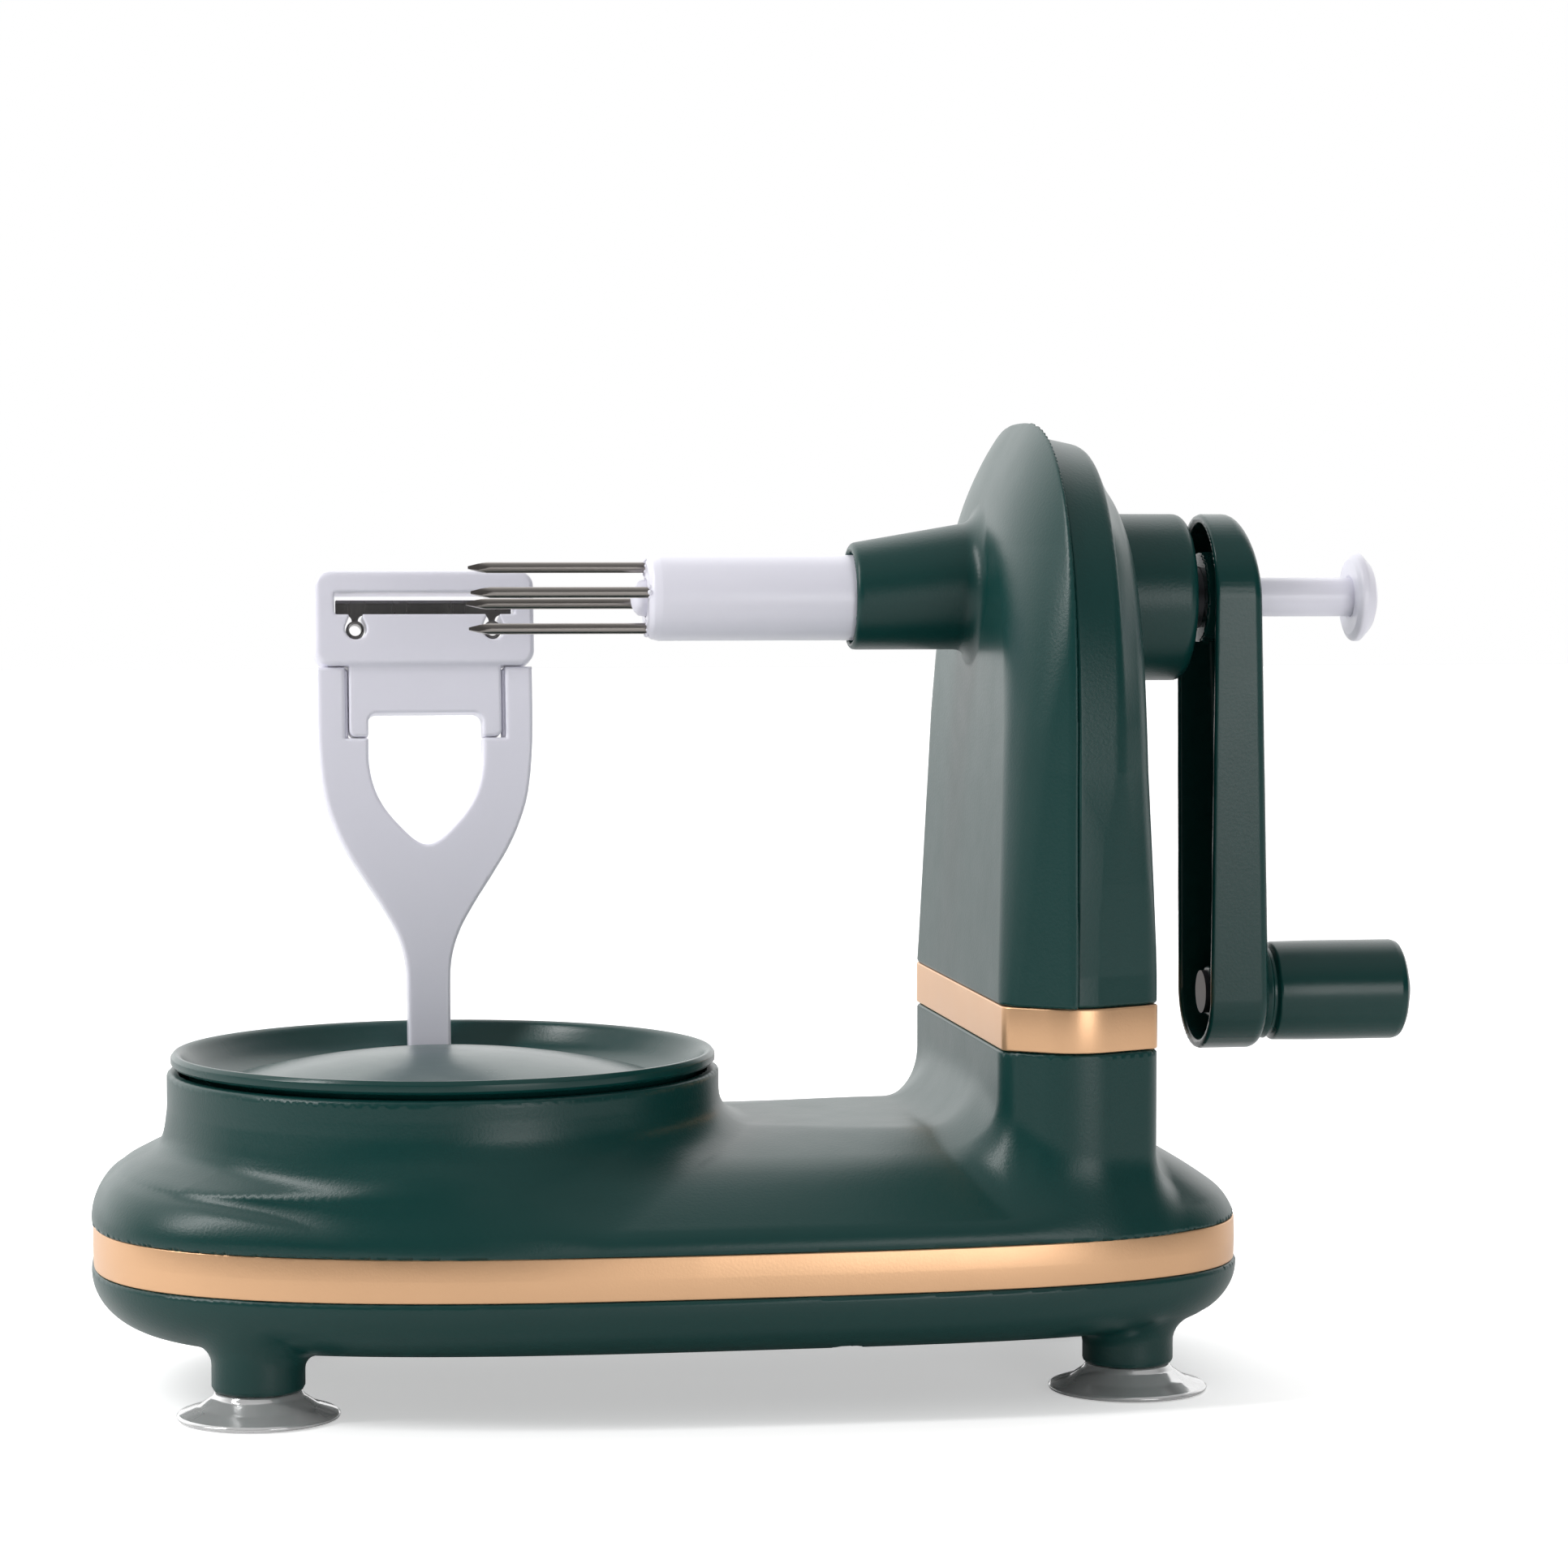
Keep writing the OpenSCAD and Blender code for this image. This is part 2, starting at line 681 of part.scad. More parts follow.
module column_pinion() {
    color([0.85, 0.84, 0.8]) translate([column_x, 0, 0]) difference() {
        union() {
            translate([0, 0, gear_high]) spur(small_t, m_column, 180 / small_t, gear_w);
            translate([0, 0, gear_high + gear_w]) cylinder(h = 6, r = 6);
            translate([0, 0, 40.2]) cylinder(h = gear_high - 40.2, r = 6);
        }
        translate([0, 0, 40]) cylinder(h = 30, r = 3.02);
    }
}

module reducer_gear() {
    color([0.85, 0.84, 0.8]) translate([reducer_x, 0, 0]) difference() {
        union() {
            translate([0, 0, gear_high]) spur(large_t, m_column, 0, gear_w);
            translate([0, 0, gear_low]) spur(small_t, m_table, 0, gear_high - gear_low + 1);
        }
        translate([0, 0, 30]) cylinder(h = 40, r = 3 + fit);
    }
}

module idler_gear() {
    color([0.85, 0.84, 0.8]) translate([idler_x, 0, gear_low]) difference() {
        spur(idler_t, m_table, 180 / idler_t, gear_w);
        translate([0, 0, -1]) cylinder(h = 10, r = 3 + fit);
    }
}

// ---- turntable ------------------------------------------------------------

module turntable_gear() {
    color([0.85, 0.84, 0.8]) translate([table_x, 0, 0]) difference() {
        union() {
            translate([0, 0, gear_low]) spur(table_t, m_table, 0, gear_w);
            translate([0, 0, gear_low]) cylinder(h = 64 - gear_low, r = 7.8);
            translate([0, 0, 61.5]) cylinder(h = 2.7, r = 14);
        }
        translate([0, 0, gear_low - 1]) cylinder(h = 30, r = 5 + fit);
        // screw holes in the flange, and driver holes in the web below them
        for (a = [30, 150, 270]) rotate([0, 0, a]) translate([11, 0, 0]) {
            translate([0, 0, 60]) cylinder(h = 5, r = 1.5, $fn = 32);
            translate([0, 0, gear_low - 1]) cylinder(h = gear_w + 2, r = 2.6, $fn = 48);
        }
    }
}

module turntable_plate() {
    color([0.06, 0.19, 0.17]) translate([table_x, 0, 0]) difference() {
        union() {
            rotate_extrude() polygon([[8.5, 64.2], [50, 64.2], [54.4, 65.4], [58, 69.6],
                [59.2, 71.8], [61.6, 71.8], [table_d / 2, 72.6], [table_d / 2, 74.2],
                [table_d / 2 - 0.8, table_z], [60.4, table_z], [58.6, 73.6],
                [56, 69.6], [53.4, 67.4], [50, 66.6], [8.5, 66.6]]);
            // lugs that hold the arm's pivot pin
            for (x = [-12, 9]) translate([x, pivot_r - 4.5, 61]) cube([3, 9, 5.4]);
        }
        translate([-8.7, 43.5, 60]) cube([17.4, 14, 9.5]);
        translate([-20, pivot_r, pivot_z]) rotate([0, 90, 0])
            cylinder(h = 40, r = 1.52, $fn = 48);
        for (a = [30, 150, 270]) rotate([0, 0, a]) translate([11, 0, 60])
            cylinder(h = 20, r = 1.3, $fn = 32);
    }
}

module turntable_dome() {
    color([0.06, 0.19, 0.17]) translate([table_x, 0, 0]) difference() {
        rotate_extrude() polygon(concat([[0, 66.6], [dome_d / 2, 66.6]],
            [for (r = [dome_d / 2 - 0.3 : -8 : 0]) [r, 74.7 - 0.0026 * r * r]],
            [[0, 74.7]]));
        // pocket over the hub, and the notch for the arm
        translate([0, 0, 60]) cylinder(h = 11.5, r = 13);
        translate([-8.7, 43.5, 60]) cube([17.4, 14, 20]);
    }
}

module turntable_screws() {
    color("silver") translate([table_x, 0, 61.5]) for (a = [30, 150, 270])
        rotate([0, 0, a]) translate([11, 0, 0]) screw_up(8.5, 1.25, 2.4, 1.4);
}

module turntable_retainer() {
    color("silver") translate([table_x, 0, 64.2]) {
        cylinder(h = 1, r = 7.5, $fn = 64);
        cylinder(h = 3, r = 4, $fn = 6);
    }
}

module arm_pivot_pin() {
    color("silver") translate([table_x - 12.6, pivot_r, pivot_z]) rotate([0, 90, 0])
        cylinder(h = 25.2, r = 1.5, $fn = 48);
}

// turns of the torsion spring beside the arm's foot, as stacked rings
module arm_spring() {
    color([0.5, 0.5, 0.52]) for (i = [0 : 2]) translate([table_x + 5.6 + 0.95 * i, pivot_r,
        pivot_z]) rotate([0, 90, 0]) rotate_extrude($fn = 48)
        translate([2.5, 0]) circle(r = 0.45, $fn = 16);
}

// ---- peeler arm -----------------------------------------------------------

// places an upright part at the arm's pivot and leans it outwards
module arm_frame() {
    translate([table_x, pivot_r, pivot_z]) rotate([-lean, 0, 0]) children();
}

// plate in the arm's plane, centred on its thickness
module arm_plate(t) {
    rotate([90, 0, 0]) translate([0, 0, -t / 2]) linear_extrude(t) children();
}

// half outline of the yoke: outside from the foot up, then inside back down
yoke = [[5.1, 4], [5.1, 18], [5.6, 26], [7.6, 32], [11.2, 39], [15.4, 45.5], [19.2, 52],
        [22.2, 58.5], [24.4, 66], [25.6, 78], [26, holder_z - 0.3],
        [holder_hw + 0.3, holder_z - 0.3], [holder_hw + 0.3, seat_z - 0.3],
        [13.8, seat_z - 0.3], [13.8, 72], [12.4, 66], [9.6, 60], [6, 55], [0, 52.7]];

module peeler_arm() {
    color([0.93, 0.93, 0.96]) arm_frame() difference() {
        union() {
            arm_plate(arm_t) for (s = [0, 1]) mirror([s, 0])
                polygon(concat([[0, 4]], yoke));
            arm_plate(arm_t) translate([-5.1, 0]) square([10.2, 8]);
            rotate([0, 90, 0]) translate([0, 0, -5.1]) cylinder(h = 10.2, r = 4, $fn = 64);
        }
        rotate([0, 90, 0]) translate([0, 0, -10]) cylinder(h = 20, r = 1.5 + fit, $fn = 48);
    }
}

module blade_holder() {
    bar_h = holder_top - holder_z;
    color([0.93, 0.93, 0.96]) arm_frame() difference() {
        union() {
            arm_plate(arm_t + 2) translate([-holder_w / 2 + 4, holder_z])
                square([holder_w - 8, bar_h]);
            arm_plate(arm_t + 2) translate([-holder_w / 2, holder_z + 4])
                square([holder_w, bar_h - 8]);
            for (x = [-1, 1], z = [holder_z + 4, holder_top - 4])
                arm_plate(arm_t + 2) translate([x * (holder_w / 2 - 4), z])
                    circle(r = 4, $fn = 48);
            // body that slides down between the yoke's prongs, on two legs
            arm_plate(arm_t) difference() {
                translate([-holder_hw, seat_z]) square([2 * holder_hw, holder_z - seat_z]);
                translate([-13.8, seat_z - 1]) square([27.6, 6.7]);
            }
        }
        arm_plate(20) translate([-21.7, slot_z]) square([43.4, 5.4]);
        for (x = [-eye_x, eye_x]) arm_plate(20) {
            translate([x, eye_z]) circle(r = 2.6, $fn = 48);
            translate([x - 1.4, eye_z]) square([2.8, 5]);
        }
    }
}

// strip with two necks, each with a lug that sits in an eye of the holder
module peeling_blade() {
    color([0.78, 0.79, 0.8]) arm_frame() union() {
        arm_plate(0.8) translate([-21.4, slot_z + 0.2]) square([42.8, 3.8]);
        for (x = [-eye_x, eye_x]) {
            arm_plate(0.8) translate([x - 0.9, eye_z + 1.5]) square([1.8, 3]);
            arm_plate(3) difference() {
                translate([x, eye_z]) circle(r = 2.2, $fn = 48);
                translate([x, eye_z]) circle(r = 1.5, $fn = 48);
            }
        }
    }
}

// pegs that keep the blade's lugs in their eyes
module blade_pegs() {
    color("silver") arm_frame() for (x = [-eye_x, eye_x]) arm_plate(arm_t)
        difference() {
            translate([x, eye_z]) circle(r = 1.4, $fn = 48);
            translate([x, eye_z]) circle(r = 1, $fn = 48);
        }
}

// ---- assembly -------------------------------------------------------------

base_upper_shell();
base_trim_band();
base_lower_pan();
base_screws();
suction_cup(0);  // suction_cup_front_left
suction_cup(1);  // suction_cup_back_left
suction_cup(2);  // suction_cup_front_right
suction_cup(3);  // suction_cup_back_right
tower_front_shell();
tower_rear_shell();
tower_trim_band();
tower_screws();
spindle_bush_front();
spindle_bush_rear();
column_bracket();
bracket_screws();
column_bush_upper();
column_bush_lower();
gear_plate();
plate_screws_set();
turntable_post();
idler_pin();
reducer_pin();
spindle_tube();
spindle_bevel();
fork_sleeve();
fork_tines();
crank_arm();
crank_set_screws();
grip_pin();
crank_grip();
grip_cap();
ejector_rod();
ejector_tip();
ejector_stem();
ejector_knob();
column_shaft();
column_bevel();
column_pinion();
reducer_gear();
idler_gear();
turntable_gear();
turntable_plate();
turntable_dome();
turntable_screws();
turntable_retainer();
arm_pivot_pin();
arm_spring();
peeler_arm();
blade_holder();
peeling_blade();
blade_pegs();
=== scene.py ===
"""Looks of a hand-cranked apple peeler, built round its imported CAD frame.

Shells, arm and crank are surfaces of rounded distance fields; turned pieces are
lathed profiles; bands are profiles swept along an outline. Lengths are in
millimetres until a mesh is made, and places come from the frame's own boxes.
"""

import json
import math

import bmesh
import bpy
import numpy as np
from mathutils import Matrix, Vector


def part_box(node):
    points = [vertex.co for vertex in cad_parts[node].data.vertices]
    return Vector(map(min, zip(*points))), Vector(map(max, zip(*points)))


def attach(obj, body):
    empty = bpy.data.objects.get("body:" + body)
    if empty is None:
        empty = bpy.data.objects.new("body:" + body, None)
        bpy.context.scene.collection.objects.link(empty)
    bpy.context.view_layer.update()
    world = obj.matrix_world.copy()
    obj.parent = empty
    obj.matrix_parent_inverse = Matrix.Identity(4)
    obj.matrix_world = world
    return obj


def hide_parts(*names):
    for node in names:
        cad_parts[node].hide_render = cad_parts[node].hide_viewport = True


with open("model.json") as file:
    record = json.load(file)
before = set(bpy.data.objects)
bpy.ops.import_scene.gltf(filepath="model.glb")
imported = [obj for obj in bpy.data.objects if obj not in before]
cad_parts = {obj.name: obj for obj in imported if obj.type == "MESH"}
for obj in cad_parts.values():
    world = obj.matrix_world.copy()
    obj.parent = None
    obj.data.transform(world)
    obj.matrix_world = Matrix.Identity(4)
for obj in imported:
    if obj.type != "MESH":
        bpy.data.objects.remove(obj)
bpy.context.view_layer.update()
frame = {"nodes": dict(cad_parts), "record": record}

MM = 0.001


def box(node):
    """Lowest and highest corner of a CAD node, in millimetres."""
    lo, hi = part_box(node)
    return np.array(lo) / MM, np.array(hi) / MM


def half(corners, axis):
    """Half the length of a box along one axis."""
    return (corners[1] - corners[0])[axis] / 2


# ---- places read from the frame ---------------------------------------------

UPPER, PAN, BAND = box("base_upper_shell"), box("base_lower_pan"), box("base_trim_band")
PLATE, DOME = box("turntable_plate"), box("turntable_dome")
FRONT, REAR = box("tower_front_shell"), box("tower_rear_shell")
TOWER_BAND = box("tower_trim_band")
SLEEVE, TINES = box("fork_sleeve"), box("fork_tines")
ARM = box("crank_arm")
GRIP, CAP = box("crank_grip"), box("grip_cap")
KNOB, STEM, TIP = box("ejector_knob"), box("ejector_stem"), box("ejector_tip")
PIVOT = sum(box("arm_pivot_pin")) / 2
COLUMN_X = sum(box("column_shaft"))[0] / 2

AXIS_Z = sum(SLEEVE)[2] / 2             # height of the spindle axis
TABLE_X = sum(PLATE)[0] / 2             # turntable axis
BASE_MID = sum(UPPER)[0] / 2
BASE_HL = half(UPPER, 0)
BASE_HW = UPPER[1][1]
BAND_Z, BAND_TOP = BAND[0][2], BAND[1][2]
SEAM_X = FRONT[1][0]
TOWER_HW = FRONT[1][1]
TOWER_TOP = FRONT[1][2]
STUB_Z, COLLAR_Z = TOWER_BAND[0][2], TOWER_BAND[1][2]
FACE_L = TOWER_BAND[0][0] - 0.4
FACE_R = TOWER_BAND[1][0] + 0.4
GRIP_Z = sum(GRIP)[2] / 2
PLATE_R, DOME_R = half(PLATE, 0), half(DOME, 0)
HOLDER_HW = half(box("blade_holder"), 0)
CUPS = {c: box("suction_cup_" + c)
        for c in ("front_left", "back_left", "front_right", "back_right")}
FEET = [tuple(sum(cup)[:2] / 2) for cup in CUPS.values()]
WALL = 2.2                              # of the pan and the tower
SHELL_WALL = 3.2                        # of the upper shell

# ---- camera, lights and floor -----------------------------------------------

CAM_AT = Vector((-0.14204, -0.9754, 0.1881))
CAM_LOOK = Vector((0.14863, 0.98743, -0.05373))
CAM_LENS, CAM_SENSOR = 98.17, 36.0


def add_camera():
    """Long lens in front, slightly above the spindle."""
    data = bpy.data.cameras.new("camera")
    data.lens, data.sensor_width = CAM_LENS, CAM_SENSOR
    data.clip_start, data.clip_end = 0.05, 50
    cam = bpy.data.objects.new("camera", data)
    bpy.context.collection.objects.link(cam)
    cam.location = CAM_AT
    cam.rotation_mode = "QUATERNION"
    cam.rotation_quaternion = CAM_LOOK.to_track_quat("-Z", "Y")
    bpy.context.scene.camera = cam


def add_light(name, at, target, width, height, power):
    """Soft rectangular light, itself unseen."""
    data = bpy.data.lights.new(name, "AREA")
    data.shape = "RECTANGLE"
    data.size, data.size_y, data.energy = width, height, power
    lamp = bpy.data.objects.new(name, data)
    bpy.context.collection.objects.link(lamp)
    lamp.location = at
    lamp.rotation_mode = "QUATERNION"
    lamp.rotation_quaternion = (Vector(target) - Vector(at)).to_track_quat("-Z", "Y")
    lamp.visible_camera = False


# studio brightness by direction: where it shines from, how wide, how strong
GLOWS = (
    ((0, 1, 0.1), 0.12, 0.7, 1.35),         # white backdrop behind
    ((0, 0, 1), 0.20, 0.95, 0.55),          # overhead diffuser
    ((-0.8, 0.6, 0.2), 0.55, 0.95, 0.35),   # wide diffuser at the left
)
FAINT = 0.035                           # everywhere else


def settings(node, values):
    """Sets inputs of a shader node by name."""
    for socket, value in values.items():
        node.inputs[socket].default_value = value


def add_world():
    """Pale studio, bright behind and above and dim on the camera's side."""
    world = bpy.data.worlds.new("studio")
    bpy.context.scene.world = world
    world.use_nodes = True
    tree = world.node_tree
    tree.nodes.clear()
    n, link = tree.nodes.new, tree.links.new
    coord = n("ShaderNodeTexCoord")
    total = None
    for direction, start, end, strength in GLOWS:
        dot, span, add = n("ShaderNodeVectorMath"), n("ShaderNodeMapRange"), n("ShaderNodeMath")
        dot.operation = "DOT_PRODUCT"
        dot.inputs[1].default_value = Vector(direction).normalized()
        link(coord.outputs["Generated"], dot.inputs[0])
        span.interpolation_type = "SMOOTHSTEP"
        settings(span, {"From Min": start, "From Max": end, "To Max": strength})
        link(dot.outputs["Value"], span.inputs["Value"])
        link(span.outputs[0], add.inputs[0])
        if total:
            link(total, add.inputs[1])
        else:
            add.inputs[1].default_value = FAINT
        total = add.outputs[0]
    lit, pale = n("ShaderNodeBackground"), n("ShaderNodeBackground")
    link(total, lit.inputs["Strength"])
    lit.inputs["Color"].default_value = (1, 1, 1, 1)
    pale.inputs["Color"].default_value = (1, 1, 1, 1)
    path, mix = n("ShaderNodeLightPath"), n("ShaderNodeMixShader")
    out = n("ShaderNodeOutputWorld")
    link(path.outputs["Is Camera Ray"], mix.inputs[0])
    link(lit.outputs[0], mix.inputs[1])
    link(pale.outputs[0], mix.inputs[2])
    link(mix.outputs[0], out.inputs[0])
    bpy.context.scene.view_settings.view_transform = "Standard"


# ---- materials --------------------------------------------------------------

DRIFT_SCALE, GLOSS_SCALE = 35, 120      # noise cells per metre
SUB_DEPTH, GRAIN_DEPTH = 0.003, 0.0004  # in metres
GREEN_TONE = (0.0028, 0.042, 0.038)


def material(name, colour, rough, *, vary, bump, metal=0.0, rough_vary=0.04, grain=900.0,
             stretch=(1, 1, 1), ior=1.5, sub=0.0, alpha=1.0, edge=0.0):
    """Moulded or machined surface: colour drift, uneven gloss, fine grain and a painted highlight
    on convex edges.
    """
    mat = bpy.data.materials.new(name)
    mat.use_nodes = True
    tree = mat.node_tree
    n, link = tree.nodes.new, tree.links.new
    bsdf = tree.nodes["Principled BSDF"]
    settings(bsdf, {"Metallic": metal, "IOR": ior, "Alpha": alpha})
    if sub:
        settings(bsdf, {"Subsurface Weight": sub, "Subsurface Scale": 1.0,
                        "Subsurface Radius": (SUB_DEPTH, SUB_DEPTH, SUB_DEPTH)})
    coord, place = n("ShaderNodeTexCoord"), n("ShaderNodeMapping")
    place.inputs["Scale"].default_value = stretch
    link(coord.outputs["Object"], place.inputs["Vector"])

    def noise(scale, detail):
        node = n("ShaderNodeTexNoise")
        settings(node, {"Scale": scale, "Detail": detail})
        link(place.outputs[0], node.inputs["Vector"])
        return node.outputs["Fac"]

    drift = n("ShaderNodeMix")
    drift.data_type = "RGBA"
    settings(drift, {"A": (*[c * (1 - vary) for c in colour], 1),
                     "B": (*[min(1, c * (1 + vary)) for c in colour], 1)})
    link(noise(DRIFT_SCALE, 4), drift.inputs["Factor"])
    tint = drift.outputs["Result"]
    if edge:
        # painted highlight: paler convex corners, from the shape's own curvature
        geo, span, edge_highlight = n("ShaderNodeNewGeometry"), n("ShaderNodeMapRange"), n("ShaderNodeMix")
        edge_highlight.data_type = "RGBA"
        settings(span, {"From Min": 0.53, "From Max": 0.62, "To Min": 0.0, "To Max": edge})
        link(geo.outputs["Pointiness"], span.inputs["Value"])
        link(span.outputs[0], edge_highlight.inputs["Factor"])
        link(tint, edge_highlight.inputs["A"])
        edge_highlight.inputs["B"].default_value = (*[min(1, c * 1.6 + 0.02) for c in colour], 1)
        tint = edge_highlight.outputs["Result"]
    link(tint, bsdf.inputs["Base Color"])
    gloss = n("ShaderNodeMapRange")
    settings(gloss, {"To Min": max(0.02, rough - rough_vary), "To Max": rough + rough_vary})
    link(noise(GLOSS_SCALE, 3), gloss.inputs["Value"])
    link(gloss.outputs[0], bsdf.inputs["Roughness"])
    relief = n("ShaderNodeBump")
    settings(relief, {"Strength": bump, "Distance": GRAIN_DEPTH})
    link(noise(grain, 2), relief.inputs["Height"])
    link(relief.outputs[0], bsdf.inputs["Normal"])
    return mat


# edge sets the painted highlight that pales convex corners of the greens
GREEN = material("green_plastic", GREEN_TONE, 0.34, vary=0.06,
                 rough_vary=0.03, grain=1500, bump=0.10, ior=1.41, edge=0.25)
GREEN_FINE = material("green_plastic_glossier", GREEN_TONE, 0.26, vary=0.05,
                      rough_vary=0.03, grain=1500, bump=0.05, ior=1.41, edge=0.2)
GOLD = material("champagne_trim", (0.76, 0.46, 0.26), 0.35, metal=0.7, vary=0.03,
                rough_vary=0.03, grain=1800, bump=0.05)
WHITE = material("white_plastic", (0.84, 0.83, 0.92), 0.30, vary=0.01,
                 rough_vary=0.03, grain=700, bump=0.02, sub=0.12)
STEEL = material("ground_steel", (0.27, 0.25, 0.235), 0.30, metal=1.0, vary=0.10,
                 rough_vary=0.07, grain=900, bump=0.06, stretch=(0.06, 1, 1))
BLADE_STEEL = material("dark_blade_steel", (0.20, 0.195, 0.19), 0.27, metal=1.0, vary=0.25,
                       rough_vary=0.08, grain=1600, bump=0.06, stretch=(1, 1, 0.1))
BRIGHT = material("bright_steel", (0.66, 0.66, 0.67), 0.2, metal=1.0, vary=0.05, bump=0.03)
ZINC = material("zinc_plate", (0.60, 0.61, 0.62), 0.38, metal=1.0, vary=0.12,
                rough_vary=0.08, grain=500, bump=0.05)
DARK_STEEL = material("black_oxide", (0.10, 0.10, 0.11), 0.42, metal=0.8, vary=0.1,
                      grain=600, bump=0.06)
NYLON = material("natural_nylon", (0.80, 0.77, 0.68), 0.5, vary=0.03, grain=500,
                 bump=0.06, sub=0.1)
ACETAL = material("acetal", (0.84, 0.84, 0.81), 0.42, vary=0.02, grain=500, bump=0.04)
BRASS = material("turned_brass", (0.78, 0.57, 0.26), 0.3, metal=1.0, vary=0.06,
                 grain=900, bump=0.05, stretch=(1, 1, 6))
CLEAR = material("clear_soft_plastic", (0.92, 0.92, 0.92), 0.10, metal=0.6, vary=0.30,
                 rough_vary=0.05, grain=110, bump=0.55, alpha=0.80)

SLOT_MATERIALS = {
    "green_shell": GREEN, "gold_trim": GOLD, "clear_cup": CLEAR, "white_plastic": WHITE,
    "bright_steel": BRIGHT, "plated_steel": ZINC, "dark_steel": DARK_STEEL,
    "gear_nylon": NYLON, "bush_plastic": ACETAL, "bush_brass": BRASS,
}

# ---- distance fields --------------------------------------------------------
# Each field takes arrays x, y, z in millimetres and is negative inside.


def join(a, b, r):
    """Union with a concave fillet of radius r."""
    u, v = np.maximum(r - a, 0), np.maximum(r - b, 0)
    return np.maximum(r, np.minimum(a, b)) - np.hypot(u, v)


def soft_min(a, b, k):
    """Smaller of two heights, blended over a span of k."""
    h = np.clip(0.5 + 0.5 * (b - a) / k, 0, 1)
    return b + (a - b) * h - k * h * (1 - h)


def ease(v, lo, hi):
    """0 below lo, 1 above hi, smooth between."""
    t = np.clip((v - lo) / (hi - lo), 0, 1)
    return t * t * (3 - 2 * t)


def meet(a, b, r):
    """Intersection with a rounded edge of radius r."""
    return -join(-a, -b, r)


def cut(a, b, r):
    """a without b, with a rounded edge."""
    return meet(a, -b, r)


def slab(v, lo, hi):
    """Endless layer between two planes."""
    return np.maximum(lo - v, v - hi)


def rod(u, v, r):
    """Endless cylinder of radius r along the axis left out."""
    return np.hypot(u, v) - r


def superellipse(u, v, a, b, n):
    """Roughly true distance from a superellipse with half axes a and b."""
    p, q = np.abs(u / a) + 1e-6, np.abs(v / b) + 1e-6
    f = (p ** n + q ** n) ** (1 / n)
    grad = np.hypot((p / f) ** (n - 1) / a, (q / f) ** (n - 1) / b)
    return (f - 1) / grad


def polygon(u, v, points):
    """Signed distance from a closed polygon."""
    pts = np.array(points, float)
    best = np.full(np.shape(u), 1e9)
    inside = np.zeros(np.shape(u), bool)
    for (ax, ay), (bx, by) in zip(pts, np.roll(pts, -1, 0)):
        ex, ey = bx - ax, by - ay
        t = np.clip(((u - ax) * ex + (v - ay) * ey) / (ex * ex + ey * ey), 0, 1)
        best = np.minimum(best, (u - ax - t * ex) ** 2 + (v - ay - t * ey) ** 2)
        if ay != by:
            inside ^= ((ay > v) != (by > v)) & (u < ex * (v - ay) / ey + ax)
    return np.where(inside, -1, 1) * np.sqrt(best)


def curve(points):
    """Open Catmull-Rom spline through the points, four steps to a span."""
    p = np.array([points[0], *points, points[-1]], float)
    out = []
    for a, b, c, d in zip(p, p[1:], p[2:], p[3:]):
        for t in np.arange(4) / 4:
            out.append(0.5 * (2 * b + (c - a) * t + (2 * a - 5 * b + 4 * c - d) * t * t
                              + (3 * b - a - 3 * c + d) * t ** 3))
    return [*out, p[-1]]


# ---- meshes -----------------------------------------------------------------

CORNERS = np.array([(i, j, k) for i in (0, 1) for j in (0, 1) for k in (0, 1)])
EDGES = [(a, b) for a in range(8) for b in range(a + 1, 8)
         if np.abs(CORNERS[a] - CORNERS[b]).sum() == 1]
SHARP = 0.6                             # angle from which an edge counts as a corner


def net(field, lo, hi, cell):
    """Quads of the surface field = 0 inside a box: one vertex per crossed cell."""
    lo, hi = np.array(lo, float) - 1.5 * cell, np.array(hi, float) + 1.5 * cell
    count = np.ceil((hi - lo) / cell).astype(int) + 1
    axes = [l + cell * np.arange(c) for l, c in zip(lo, count)]
    val = np.empty(count, np.float32)
    for i in range(0, count[0], 24):         # in slices, to save memory
        val[i:i + 24] = field(*np.meshgrid(axes[0][i:i + 24], *axes[1:], indexing="ij"))
    inside = val < 0
    ni, nj, nk = count - 1
    cells = sum(inside[i:ni + i, j:nj + j, k:nk + k].astype(np.int8) for i, j, k in CORNERS)
    crossed = np.argwhere((cells > 0) & (cells < 8))
    at, hits = np.zeros((len(crossed), 3)), np.zeros((len(crossed), 1))
    for a, b in EDGES:
        va = val[tuple((crossed + CORNERS[a]).T)]
        vb = val[tuple((crossed + CORNERS[b]).T)]
        hit = ((va < 0) != (vb < 0))[:, None]
        t = (va / np.where(va == vb, 1, va - vb))[:, None]
        at += np.where(hit, crossed + CORNERS[a] + t * (CORNERS[b] - CORNERS[a]), 0)
        hits += hit
    verts = lo + cell * at / hits
    index = np.full(cells.shape, -1)
    index[tuple(crossed.T)] = np.arange(len(crossed))
    quads = []
    for axis in range(3):
        here = [slice(1, c - 1) for c in count]
        here[axis] = slice(0, count[axis] - 1)
        ahead = list(here)
        ahead[axis] = slice(1, count[axis])
        a, b = inside[tuple(here)], inside[tuple(ahead)]
        for flag, turn in ((a & ~b, 1), (b & ~a, -1)):
            spot = np.argwhere(flag) + [s.start for s in here]
            u, v = (axis + 1) % 3, (axis + 2) % 3
            ring = []
            for du, dv in ((-1, -1), (0, -1), (0, 0), (-1, 0))[::turn]:
                c = spot.copy()
                c[:, u] += du
                c[:, v] += dv
                ring.append(index[tuple(c.T)])
            quads.append(np.stack(ring, 1))
    return verts, np.concatenate(quads)


def slopes(field, p, h):
    """Gradient of a field at points p, from steps of h."""
    g = np.empty_like(p)
    for i in range(3):
        step = np.zeros(3)
        step[i] = h
        g[:, i] = (field(*(p + step).T) - field(*(p - step).T)) / (2 * h)
    return g


